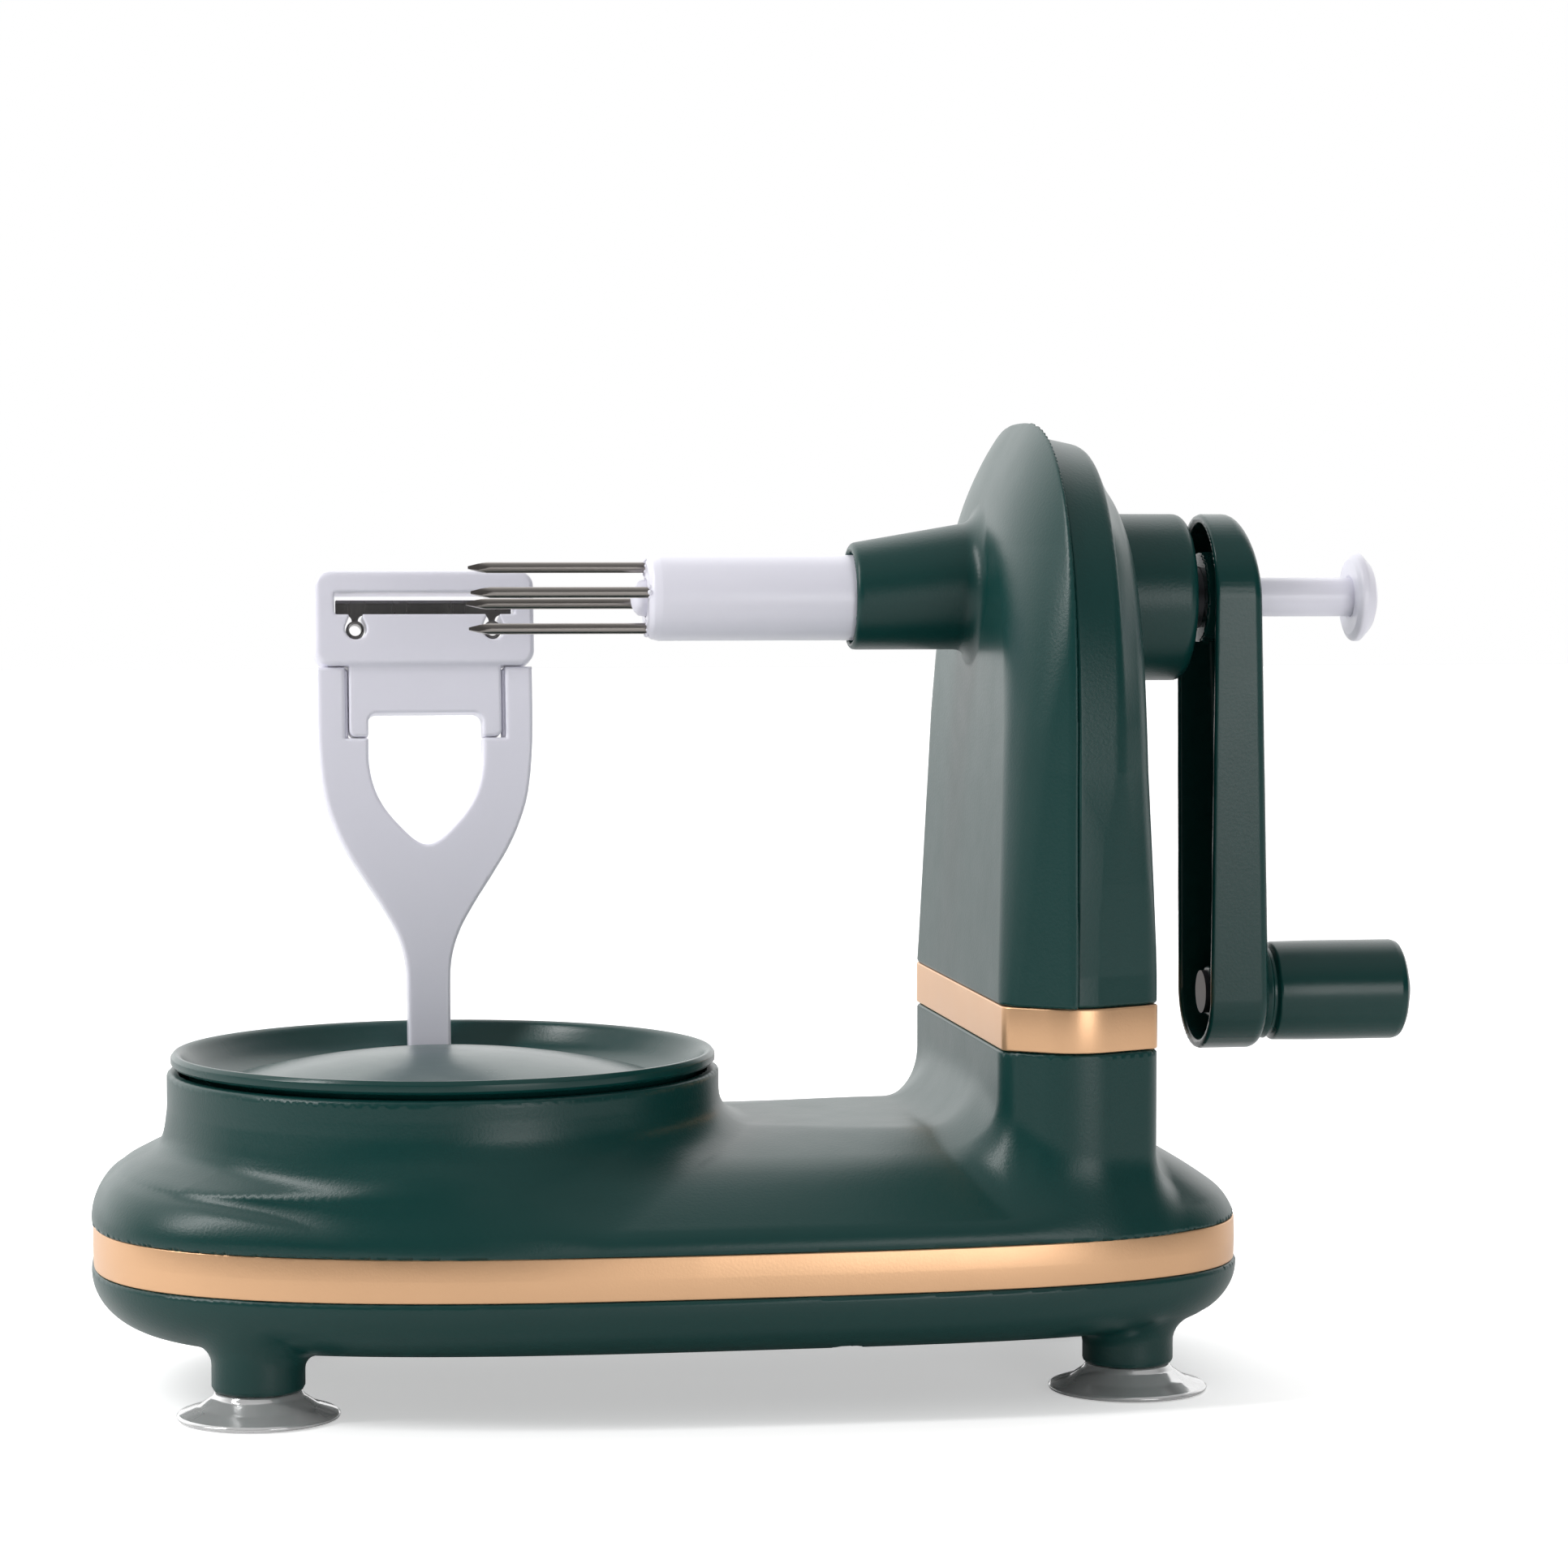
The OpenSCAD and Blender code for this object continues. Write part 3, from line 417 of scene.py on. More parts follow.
def piece(name, verts, faces, mat, smooth=True):
    """New mesh object from points in millimetres."""
    mesh = bpy.data.meshes.new(name)
    mesh.from_pydata((np.asarray(verts) * MM).tolist(), [],
                     faces.tolist() if isinstance(faces, np.ndarray) else faces)
    mesh.validate()
    mesh.polygons.foreach_set("use_smooth", [smooth] * len(mesh.polygons))
    obj = bpy.data.objects.new(name, mesh)
    bpy.context.collection.objects.link(obj)
    mesh.materials.append(mat)
    return obj


def solid(name, field, lo, hi, cell, mat):
    """Object on the surface of a field, its points drawn exactly onto it."""
    verts, faces = net(field, lo, hi, cell)
    for _ in range(3):
        g = slopes(field, verts, 0.03)
        size = np.maximum((g * g).sum(1, keepdims=True), 0.05)
        step = field(*verts.T)[:, None] * g / size
        length = np.linalg.norm(step, axis=1, keepdims=True)
        verts = verts - step * np.minimum(1, 0.45 * cell / np.maximum(length, 1e-9))
    obj = piece(name, verts, faces, mat)
    normals = slopes(field, verts, 0.12)
    normals /= np.maximum(np.linalg.norm(normals, axis=1, keepdims=True), 1e-9)
    obj.data.normals_split_custom_set_from_vertices(normals.tolist())
    return obj


def fillet(profile, radii, steps):
    """Closed or open profile with its corners rounded: one radius for each point."""
    out = []
    for i, (p, r) in enumerate(zip(profile, radii)):
        if r == 0 or i in (0, len(profile) - 1):
            out.append(tuple(p))
            continue
        p = Vector(p)
        a, b = Vector(profile[i - 1]) - p, Vector(profile[i + 1]) - p
        half = a.angle(b) / 2
        reach = min(r / math.tan(half), a.length * 0.49, b.length * 0.49)
        start, end = p + a.normalized() * reach, p + b.normalized() * reach
        for s in range(steps + 1):
            t = s / steps
            out.append(tuple(start * (1 - t) ** 2 + p * 2 * t * (1 - t) + end * t * t))
    return out


def lathe(name, profile, mat, at, axis="Z", turns=128):
    """Profile of (radius, height) turned about an axis. Points at radius 0 close the ends."""
    verts, faces, rows = [], [], []
    for r, h in profile:
        start = len(verts)
        n = 1 if r < 1e-6 else turns
        for i in range(n):
            t = 2 * math.pi * i / turns
            verts.append((r * math.cos(t), r * math.sin(t), h))
        rows.append((start, n))
    for (a, na), (b, nb) in zip(rows, rows[1:]):
        for i in range(turns):
            j = (i + 1) % turns
            if na == 1:
                faces.append((a, b + j, b + i))
            elif nb == 1:
                faces.append((a + i, a + j, b))
            else:
                faces.append((a + i, a + j, b + j, b + i))
    spots = np.array(verts)
    if axis == "X":
        spots = spots[:, [2, 0, 1]]
    obj = piece(name, spots + np.array(at), faces, mat)
    tidy(obj)
    return obj


def tidy(obj, angle=SHARP):
    """Welds the seam, faces normals outwards and keeps only real corners sharp."""
    bm = bmesh.new()
    bm.from_mesh(obj.data)
    bmesh.ops.remove_doubles(bm, verts=bm.verts, dist=1e-6)
    bmesh.ops.recalc_face_normals(bm, faces=bm.faces)
    bm.to_mesh(obj.data)
    bm.free()
    obj.data.set_sharp_from_angle(angle=angle)


def sweep(name, outline, section, mat):
    """Section of (outward, height) points carried round a closed outline in plan."""
    pts = np.array(outline, float)
    ahead, behind = np.roll(pts, -1, 0), np.roll(pts, 1, 0)
    tangent = ahead - behind
    tangent /= np.linalg.norm(tangent, axis=1, keepdims=True)
    normal = np.stack([tangent[:, 1], -tangent[:, 0]], 1)
    verts, m, k = [], len(pts), len(section)
    for p, n in zip(pts, normal):
        verts += [(*(p + n * out), z) for out, z in section]
    faces = []
    for i in range(m):
        here, there = i * k, (i + 1) % m * k
        faces += [(here + j, there + j, there + (j + 1) % k, here + (j + 1) % k)
                  for j in range(k)]
    obj = piece(name, verts, faces, mat)
    tidy(obj)
    return obj


def place(obj, body, slot, *nodes):
    """Puts a piece on its body, and in place of the CAD nodes it stands for."""
    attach(obj, body)
    if nodes:
        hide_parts(*nodes)
    return obj


# ---- base -------------------------------------------------------------------

TAPER = 0.035                           # how much narrower the right end is
SQUARE_L, SQUARE_R = 2.75, 3.6          # superellipse exponents of the two ends
DECK = 58.5
COLLAR_R = 62.9
COLLAR_TOP = 70.8
RIDGE_R = 73.2
# height and radius of the collar in front, and at the left where it ends in a ridge
SIDE = np.array(curve([(42, 72), (44.5, 71), (47, 69.9), (50, 68.6), (53, 67.1), (56, 65.6),
                       (58.5, 64.4), (62, 63.3), (66, COLLAR_R)])).T
RIDGE = np.array(curve([(40, 73.4), (48.2, RIDGE_R), (49.7, 72.4), (50.6, 70.7), (51.5, 68.5),
                        (52.6, 66.4), (53.9, 65), (55.9, 64.1), (58.1, 63.5),
                        (62.6, COLLAR_R)])).T
WELL_FLOOR, WELL_TOP, WELL_R = 57.8, 60, 60.2   # recess that the turntable lies in
PAN_Z = 14
LEG_R = 10.2
SCREW_Z = 18.6                          # underside of the pan's screw heads
PAN_SCREWS = [(-132, 29), (-132, -29), (10, 58), (10, -58), (92, 38), (92, -38)]


def base_outline(x, y):
    """Distance from the base's plan: rounder at the left, tapered to the right."""
    u = (x - BASE_MID) / BASE_HL
    taper = 1 - TAPER * np.maximum(u, 0)
    left = superellipse(x - BASE_MID, y, BASE_HL, BASE_HW, SQUARE_L)
    right = superellipse(x - BASE_MID, y / taper, BASE_HL, BASE_HW, SQUARE_R)
    return np.where(u < 0, left, right)


def base_ring(inset):
    """Points of the base's plan, counterclockwise."""
    ring = []
    for i in range(360):
        a = 2 * math.pi * i / 360
        c, s = math.cos(a), math.sin(a)
        p = 2 / (SQUARE_R if c > 0 else SQUARE_L)
        u = math.copysign(abs(c) ** p, c)
        v = math.copysign(abs(s) ** p, s)
        ring.append((BASE_MID + (BASE_HL - inset) * u,
                     (BASE_HW - inset) * v * (1 - TAPER * max(u, 0))))
    return ring


def even(ring, count):
    """The same closed outline with evenly spaced points."""
    pts = np.array([*ring, ring[0]], float)
    far = np.concatenate([[0], np.cumsum(np.linalg.norm(np.diff(pts, axis=0), axis=1))])
    want = np.linspace(0, far[-1], count, endpoint=False)
    return np.stack([np.interp(want, far, pts[:, i]) for i in (0, 1)], 1)


TOWER_HW_L, TOWER_HW_R = TOWER_HW - 10.9, TOWER_HW - 9.9     # half widths of the two faces


def tower_plan(x, y):
    """Distance from the tower's plan at its foot."""
    w = np.abs(y)

    def edge(ax, ay, bx, by):
        n = math.hypot(bx - ax, by - ay)
        return ((x - ax) * -(by - ay) + (w - ay) * (bx - ax)) / n

    d = meet(FACE_L - x, edge(FACE_L, TOWER_HW_L, SEAM_X, TOWER_HW), 3.6)
    d = meet(d, edge(SEAM_X, TOWER_HW, FACE_R, TOWER_HW_R), 8)
    return meet(d, x - FACE_R, 3.6)


def base_body(x, y, z):
    """Outer form of the upper shell."""
    e = -base_outline(x, y)
    u = np.clip((x - BASE_MID) / BASE_HL, -1, 1)
    # roof in two slopes from the rim up to the deck, its rim higher and rounder at the left
    left, right = ease(-u, 0.45, 1), ease(u, 0.55, 1)
    slope, rim = 0.72, 41.6 + 3.0 * left - 1.2 * right
    roof = soft_min(soft_min(rim + slope * e, rim + 6.9 + 0.27 * e, 5), np.full_like(e, DECK), 6)
    d = meet(-e, (z - roof) / np.hypot(1, slope), 2.3 + 2.9 * left ** 2 + 2.2 * right)
    # collar: flares out to a soft ridge at the left and runs down the side in front
    r = np.hypot(x - TABLE_X, y)
    turn = ease((TABLE_X - x) / np.maximum(r, 1), 0.0, 0.7)
    side = np.interp(z, *SIDE)
    ridge = np.interp(z, *RIDGE)
    # at the left the ridge keeps its distance from the rim
    room = r + 1.1 * e - 72.6
    toe = np.minimum(65 + 0.5 * (room + np.hypot(room, 4)), RIDGE_R)
    tight = (RIDGE_R - COLLAR_R) / (toe - COLLAR_R)
    steep = (np.interp(z + 0.3, *RIDGE) - np.interp(z - 0.3, *RIDGE)) / 0.6
    flared = np.maximum(r - COLLAR_R, 0) * tight + np.minimum(r, COLLAR_R) - ridge
    flared = flared / tight / np.hypot(1, steep / tight)
    collar = ((r - side) * (1 - turn) + flared * turn) * 0.9
    collar = meet(collar, 0.8 - e, 3)
    d = join(d, collar, 5.5 - 4.3 * turn)
    d = meet(d, z - COLLAR_TOP, 0.9)
    # foot of the tower
    plan = tower_plan(x, y)
    ahead = np.clip((SEAM_X - x) / 15, 0, 1)
    aside = np.clip((np.abs(y) - 45) / 15, 0, 1)
    flare = 6 + 6 * ahead + 4 * aside * (1 - ahead)
    return join(d, np.where(z < STUB_Z, plan, np.hypot(np.maximum(plan, 0), z - STUB_Z)), flare)


def upper_shell(x, y, z):
    """Hollow form with the turntable's well and the openings under it and the tower."""
    body = base_body(x, y, z)
    plan = tower_plan(x, y)
    body = meet(body, z - STUB_Z, 0.7)
    d = meet(body, BAND_TOP - z, 0.6)
    d = np.maximum(d, -(body + SHELL_WALL))
    r = np.hypot(x - TABLE_X, y)
    d = np.minimum(d, meet(r - WELL_R - 1.3, slab(z, WELL_FLOOR, WELL_TOP), 0.3))
    d = cut(d, np.maximum(r - WELL_R, WELL_TOP - z), 0.5)
    d = np.maximum(d, -np.maximum(r - 16, 40 - z))
    d = np.maximum(d, -np.maximum(plan + 4.3, 52 - z))
    # spigot inside the trim band
    wall = np.maximum(plan + 2.6, -(plan + 4.3))
    return np.minimum(d, np.maximum(wall, slab(z, 64, UPPER[1][2])))


def lower_pan(x, y, z):
    """Tray under the band, with a lip, four legs for the cups and six screw posts."""
    e = -base_outline(x, y)
    wide, deep = 17, BAND_Z - PAN_Z              # the bottom edge is a quarter ellipse
    p, q = np.maximum(1 - e / wide, 0), np.maximum((BAND_Z - 1 - z) / (deep - 1), 0)
    f = np.hypot(p, q) + 1e-6
    d = (f - 1) / np.maximum(np.hypot(p / wide, q / (deep - 1)) / f, 0.02)
    body = meet(d, z - BAND_Z, 0.8)
    for fx, fy in FEET:
        leg = meet(rod(x - fx, y - fy, LEG_R), PAN[0][2] - z, 1.2)
        body = join(body, np.maximum(leg, -d - 1.5), 3.5)
    d = np.maximum(body, -np.maximum(d + WALL, PAN_Z + WALL - z))
    lip = np.maximum(np.maximum(2.3 - e, e - 4.3), slab(z, 24, PAN[1][2]))
    d = np.minimum(d, lip)
    for fx, fy in FEET:
        d = np.maximum(d, -np.maximum(rod(x - fx, y - fy, 5.1), z - PAN[0][2] - 7))
    for px, py in PAN_SCREWS:
        post = np.maximum(rod(x - px, y - py, 4.6), slab(z, 16, 38.5))
        d = np.minimum(d, np.maximum(post, np.where(z < BAND_Z, body, -1)))
        d = np.maximum(d, -np.maximum(rod(x - px, y - py, 3.3), z - SCREW_Z - 2))
        d = np.maximum(d, -rod(x - px, y - py, 1.6))
    return d


def build_base():
    place(solid("upper_shell", upper_shell, *UPPER, 1.12, GREEN), "base", "green_shell",
          "base_upper_shell")
    place(solid("lower_pan", lower_pan, *PAN, 1.15, GREEN), "base", "green_shell",
          "base_lower_pan")
    h = BAND_TOP - BAND_Z
    section = fillet([(-1, 0), (0, 0), (0.15, h / 2), (0, h), (-1.6, h), (-1.6, 0), (-1, 0)],
                     [0, 0.35, 8, 0.35, 0.1, 0.1, 0], 3)[:-1]
    section = [(o, BAND_Z + z) for o, z in section]
    place(sweep("base_band", even(base_ring(0.45), 420), section, GOLD), "base",
          "gold_trim", "base_trim_band")


def build_pan_screws():
    z = SCREW_Z
    profile = [(0, z + 0.9), (0.7, z + 0.9), (1.2, z + 0.2), (2.2, z), (2.8, z + 0.5),
               (3, z + 1.8), (1.5, z + 1.9), (1.5, 34), (0.5, 36), (0, 36)]
    screws = [place(lathe(f"pan_screw_{i}", profile, ZINC, at=(px, py, 0), turns=32), "base",
                    "plated_steel") for i, (px, py) in enumerate(PAN_SCREWS)]
    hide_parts("base_screws")


def build_cups():
    cup_r = half(CUPS["front_left"], 0)
    top = PAN[0][2] - 0.1
    profile = fillet([(3.6, 12.8), (5, 12.8), (5, top), (9.4, top), (10.2, 4.7), (13.2, 2.6),
                      (cup_r - 0.5, 1.2), (cup_r, 0.7), (cup_r - 0.3, 0.1), (cup_r - 1.6, 0),
                      (12.5, 1.4), (8, 3), (3.6, 4.2), (3.6, 12.8)],
                     [0, .3, .3, .8, 2, 4, .5, .3, .2, .5, 3, 3, .5, 0], 4)
    for name, spot in zip(CUPS, FEET):
        place(lathe("cup_" + name, profile, CLEAR, at=(*spot, 0)), "base", "clear_cup",
              "suction_cup_" + name)


# ---- tower ------------------------------------------------------------------

ARCH_Z = 140                            # height where the sides start to arch
TOWER_POSTS = [(y, z) for y in (-40, 40) for z in (110, 160)]


def arch(y, z, hw, top):
    """Front view of the tower: nearly straight sides under half a superellipse."""
    side = hw - 0.02 * np.minimum(z - ARCH_Z, 0)
    up = np.maximum(z - ARCH_Z, 0)
    return superellipse(y, up, side, top - ARCH_Z, 2.7)


def front_form(x, y, z, wall=0.0):
    """Outer form of the front half, or its inner form with a wall: face and chamfer."""
    seam = arch(y, z, TOWER_HW - 0.9, TOWER_TOP + 1.2)
    s = SEAM_X - x
    k = np.interp(z, [88, 150, 207], [0.71, 0.77, 1.0])
    chamfer = (seam + k * s) / np.hypot(1, k)
    face = FACE_L + 0.0387 * (z - COLLAR_Z) - x
    r = np.interp(z, [88, 95, 115, 150, 190, 219], [3.4, 4.2, 5.6, 8, 13.5, 13.5])
    d = meet(face + wall, chamfer + wall, r)
    return meet(d, seam + wall, 1.8)


def rear_form(x, y, z, wall=0.0):
    """The same for the rear half, whose sides fall to the back face in two facets."""
    rise = np.clip((z - 115) / 90, 0, 1)
    edge = arch(y, z, TOWER_HW - 1.0 - 1.6 * rise, TOWER_TOP - 3.0)
    s = x - SEAM_X
    low = np.clip((z - 95) / 45, 0, 1)           # the two facets part above the band
    k1 = 0.48 - 0.27 * low
    first = 10.3
    facet1 = (edge + k1 * s) / np.hypot(1, k1)
    span = 10.2 - 2.2 * low
    depth = (9.9 - k1 * first) + 4.5 * np.clip((z - 150) / 45, 0, 1)
    t = np.clip((s - first) / span, -0.5, 1.3)
    hollow = 0.55 * np.clip((z - 150) / 40, 0, 1)
    fall = depth * (t + hollow * t * (1 - t) * (t > 0))
    facet2 = (edge + k1 * first + fall) / np.hypot(1, depth / span)
    face = x - (FACE_R - 2.0 * np.clip((z - 95) / 55, 0, 1))
    d = meet(facet1 + wall, facet2 + wall, 0.9 + 3 * (1 - low))
    return meet(d, face + wall, 3.4)


def front_shell(x, y, z):
    outer = front_form(x, y, z)
    rise = 0.086 * (x - FRONT[0][0])
    boss = rod(y, z - AXIS_Z - 0.3 - rise, 12.3 + rise)
    boss = np.maximum(boss, x - 56)
    outer = join(outer, boss, 4)
    outer = meet(outer, FRONT[0][0] - x, 1.2)
    d = meet(outer, x - SEAM_X, 0.8)
    d = meet(d, COLLAR_Z - z, 0.7)
    inner = np.maximum(front_form(x, y, z, WALL), x - SEAM_X - 1)
    d = np.maximum(d, -inner)
    for y0, z0 in TOWER_POSTS:
        post = np.maximum(rod(y - y0, z - z0, 4), slab(x, FACE_L + 3.5, SEAM_X))
        d = np.minimum(d, np.maximum(post, outer))
        d = np.maximum(d, -np.maximum(rod(y - y0, z - z0, 1.3), SEAM_X - 9 - x))
    d = cut(d, np.maximum(rod(y, z - AXIS_Z, 10.6), x - 60), 0.5)
    return np.maximum(d, -np.maximum(rod(x - COLUMN_X, y, 14.2), slab(z, 168, 174)))


def rear_shell(x, y, z):
    outer = rear_form(x, y, z)
    boss = meet(rod(y, z - AXIS_Z, 19.4), x - REAR[1][0], 2.6)
    boss = np.maximum(boss, 70 - x)
    outer = join(outer, boss, 2.2)
    d = meet(outer, SEAM_X - x, 0.8)
    d = meet(d, COLLAR_Z - z, 0.7)
    d = np.maximum(d, -rear_form(x, y, z, WALL))
    for y0, z0 in TOWER_POSTS:
        post = np.maximum(rod(y - y0, z - z0, 4), slab(x, SEAM_X, FACE_R))
        d = np.minimum(d, np.maximum(post, outer))
        d = np.maximum(d, -np.maximum(rod(y - y0, z - z0, 1.6), x - SEAM_X - 29))
        d = np.maximum(d, -np.maximum(rod(y - y0, z - z0, 3.2), SEAM_X + 11 - x))
    ledge = np.maximum(slab(x, 68, 79), slab(z, 143, 150))
    d = np.minimum(d, np.maximum(slab(np.abs(y), 12, 22), ledge))
    d = cut(d, np.maximum(rod(y, z - AXIS_Z, 13.05), x - 95.2), 0.4)
    return cut(d, rod(y, z - AXIS_Z, 7.6), 0.4)


def plan_ring(inset):
    """Points of the tower's plan with rounded corners, counterclockwise."""
    pts = [(SEAM_X, TOWER_HW), (FACE_L, TOWER_HW_L), (FACE_L, -TOWER_HW_L),
           (SEAM_X, -TOWER_HW), (FACE_R, -TOWER_HW_R), (FACE_R, TOWER_HW_R)]
    pts = [Vector(p) for p in pts]
    out = []
    for i, r in enumerate((14, 3.4, 3.4, 14, 3.4, 3.4)):
        p, q, s = pts[i], pts[i - 1], pts[(i + 1) % 6]
        u, v = (q - p).normalized(), (s - p).normalized()
        half = u.angle(v) / 2
        centre = p + (u + v).normalized() * r / math.sin(half)
        t0, t1 = p + u * r / math.tan(half), p + v * r / math.tan(half)
        for k in range(13):
            w = (t0 * (1 - k / 12) + t1 * (k / 12)) - centre
            out.append(centre + w.normalized() * r)
    ring = even([tuple(p) for p in out], 320)
    tangent = np.roll(ring, -1, 0) - np.roll(ring, 1, 0)
    tangent /= np.linalg.norm(tangent, axis=1, keepdims=True)
    return ring + inset * np.stack([-tangent[:, 1], tangent[:, 0]], 1)


def build_tower():
    place(solid("tower_front", front_shell, *FRONT, 0.8, GREEN), "base", "green_shell",
          "tower_front_shell")
    place(solid("tower_rear", rear_shell, *REAR, 0.8, GREEN), "base", "green_shell",
          "tower_rear_shell")
    h = COLLAR_Z - STUB_Z
    section = fillet([(-1, 0.12), (0, 0.12), (0, h - 0.12), (-1.8, h - 0.12), (-1.8, 0.12),
                      (-1, 0.12)], [0, 0.4, 0.4, 0.1, 0.1, 0], 3)[:-1]
    section = [(o, STUB_Z + z) for o, z in section]
    place(sweep("tower_band", plan_ring(0.3), section, GOLD), "base", "gold_trim",
          "tower_trim_band")


# ---- turntable --------------------------------------------------------------

DISH_Z = 66.6                           # floor of the plate, on which the cover lies
ARM_SLOT_HW, ARM_SLOT_Y = 8.7, (43.5, 57.5)


def plate_profile():
    top = PLATE[1][2]
    lip = [(8.5, 64.2), (50, 64.2), (54.4, 65.4), (58, 69.6), (59.2, 71.8), (61.4, 72),
           (PLATE_R, 72.7), (PLATE_R, top - 0.9), (PLATE_R - 0.7, top), (60.8, top)]
    dish = curve([(60.8, top), (59.8, 74.4), (58.4, 72.4), (56, 69.4), (53, 67.4),
                  (50, 66.7), (44, DISH_Z)])
    return [*fillet(lip, [0, 0, 1, 1, .4, .3, .3, .4, .4, 0], 3)[:-1], *map(tuple, dish),
            (8.5, DISH_Z), (8.5, 64.2)]


def dome_profile():
    crown = DOME[1][2]
    arc = [(r, crown - 0.0026 * r * r) for r in np.linspace(0, DOME_R - 1.2, 24)]
    return [*arc, (DOME_R - 0.3, arc[-1][1] - 0.5), (DOME_R, arc[-1][1] - 1.2),
            (DOME_R, DISH_Z), (13, DISH_Z), (13, 71.5), (0, 71.5)]


def cut_slot(obj, top):
    """Cuts the opening for the peeler arm out of a turned piece, up to a height."""
    verts = [(x, y, z) for x in (TABLE_X - ARM_SLOT_HW, TABLE_X + ARM_SLOT_HW)
             for y in ARM_SLOT_Y for z in (60, top)]
    faces = [(0, 1, 3, 2), (4, 6, 7, 5), (0, 4, 5, 1), (2, 3, 7, 6), (0, 2, 6, 4), (1, 5, 7, 3)]
    tool = piece("slot_tool", verts, faces, GREEN, smooth=False)
    mod = obj.modifiers.new("slot", "BOOLEAN")
    mod.operation, mod.object, mod.solver = "DIFFERENCE", tool, "EXACT"
    bpy.context.view_layer.update()
    graph = bpy.context.evaluated_depsgraph_get()
    done = bpy.data.meshes.new_from_object(obj.evaluated_get(graph))
    obj.modifiers.clear()
    obj.data = done
    bpy.data.objects.remove(tool)
    obj.data.set_sharp_from_angle(angle=SHARP)


def build_turntable():
    at = (TABLE_X, 0, 0)
    plate = lathe("turntable_ring", plate_profile(), GREEN_FINE, at=at, turns=192)
    cut_slot(plate, 69.5)
    place(plate, "turntable", "green_shell", "turntable_plate")
    dome = lathe("turntable_cover", dome_profile(), GREEN_FINE, at=at, turns=192)
    cut_slot(dome, 80)
    place(dome, "turntable", "green_shell", "turntable_dome")


# ---- fork, crank and ejector ------------------------------------------------

TINE_R = 1.25
TINE_RING = 7.1
TINE_ANGLES = [math.radians(11 + 90 * i) for i in range(4)]


def on_axis(name, profile, mat, turns=96):
    """Lathe about the spindle axis; profile points are (radius, x)."""
    return lathe(name, profile, mat, axis="X", at=(0, 0, AXIS_Z), turns=turns)


def tine(name, angle):
    """Round rod whose point is ground to four long flats."""
    length = SLEEVE[0][0] - TINES[0][0]
    turns, point = 32, 5.6
    heights = [0, 0.3, 1.2, 2.4, 3.4, 4.3, 5.0, length * 0.5, length + 3]
    verts, faces = [], []
    for h in heights:
        grow = min(1, (h + 1.3) / point)
        for i in range(turns):
            t = 2 * math.pi * i / turns
            flat = grow * TINE_R / max(abs(math.cos(t)), abs(math.sin(t)))
            rad = min(TINE_R, flat) * (1 if grow >= 1 else 0.98)     # ground just under the rod
            verts.append((TINES[0][0] + h, rad * math.cos(t), rad * math.sin(t)))
    last = (len(heights) - 1) * turns
    for a in range(0, last, turns):
        for i in range(turns):
            j = (i + 1) % turns
            faces.append((a + i, a + j, a + turns + j, a + turns + i))
    faces.append(tuple(range(turns)))
    faces.append(tuple(range(last, last + turns))[::-1])
    obj = piece(name, verts, faces, STEEL)
    tidy(obj, 0.5)
    turn = Matrix.Rotation(-angle, 4, "X")
    obj.data.transform(Matrix.Translation((0, 0, AXIS_Z * MM)) @ turn
                       @ Matrix.Translation((0, 0, TINE_RING * MM)))
    return obj


def bead_ring(name):
    """Moulding beads round the tine roots on the sleeve's face."""
    face = SLEEVE[0][0]
    bm = bmesh.new()
    for a in TINE_ANGLES:
        cy, cz = math.sin(a) * TINE_RING, math.cos(a) * TINE_RING
        for i in range(7):
            b = 2 * math.pi * i / 7 + a
            spot = (face + 0.15, cy + 1.55 * math.cos(b), AXIS_Z + cz + 1.55 * math.sin(b))
            made = bmesh.ops.create_icosphere(bm, subdivisions=2, radius=0.42 + 0.1 * (i % 3))
            bmesh.ops.translate(bm, verts=made["verts"], vec=spot)
    bmesh.ops.scale(bm, vec=(MM, MM, MM), verts=bm.verts)
    mesh = bpy.data.meshes.new(name)
    bm.to_mesh(mesh)
    bm.free()
    mesh.polygons.foreach_set("use_smooth", [True] * len(mesh.polygons))
    obj = bpy.data.objects.new(name, mesh)
    bpy.context.collection.objects.link(obj)
    mesh.materials.append(WHITE)
    return obj


def crank_outline():
    """Hull of the hub's circle and the wider, flatter round of the grip end."""
    throw, hub, end_w, end_h = AXIS_Z - GRIP_Z, 19.4, 16.6, 13.2
    out = []
    for a in np.linspace(0, 2 * math.pi, 96, endpoint=False):
        c, s = math.cos(a), math.sin(a)
        n = math.hypot(end_w * c, end_h * s)
        top, low = (hub * c, hub * s), (end_w ** 2 * c / n, end_h ** 2 * s / n - throw)
        out.append(max(top, low, key=lambda p: p[0] * c + p[1] * s))
    return out


CRANK_OUTLINE = crank_outline()


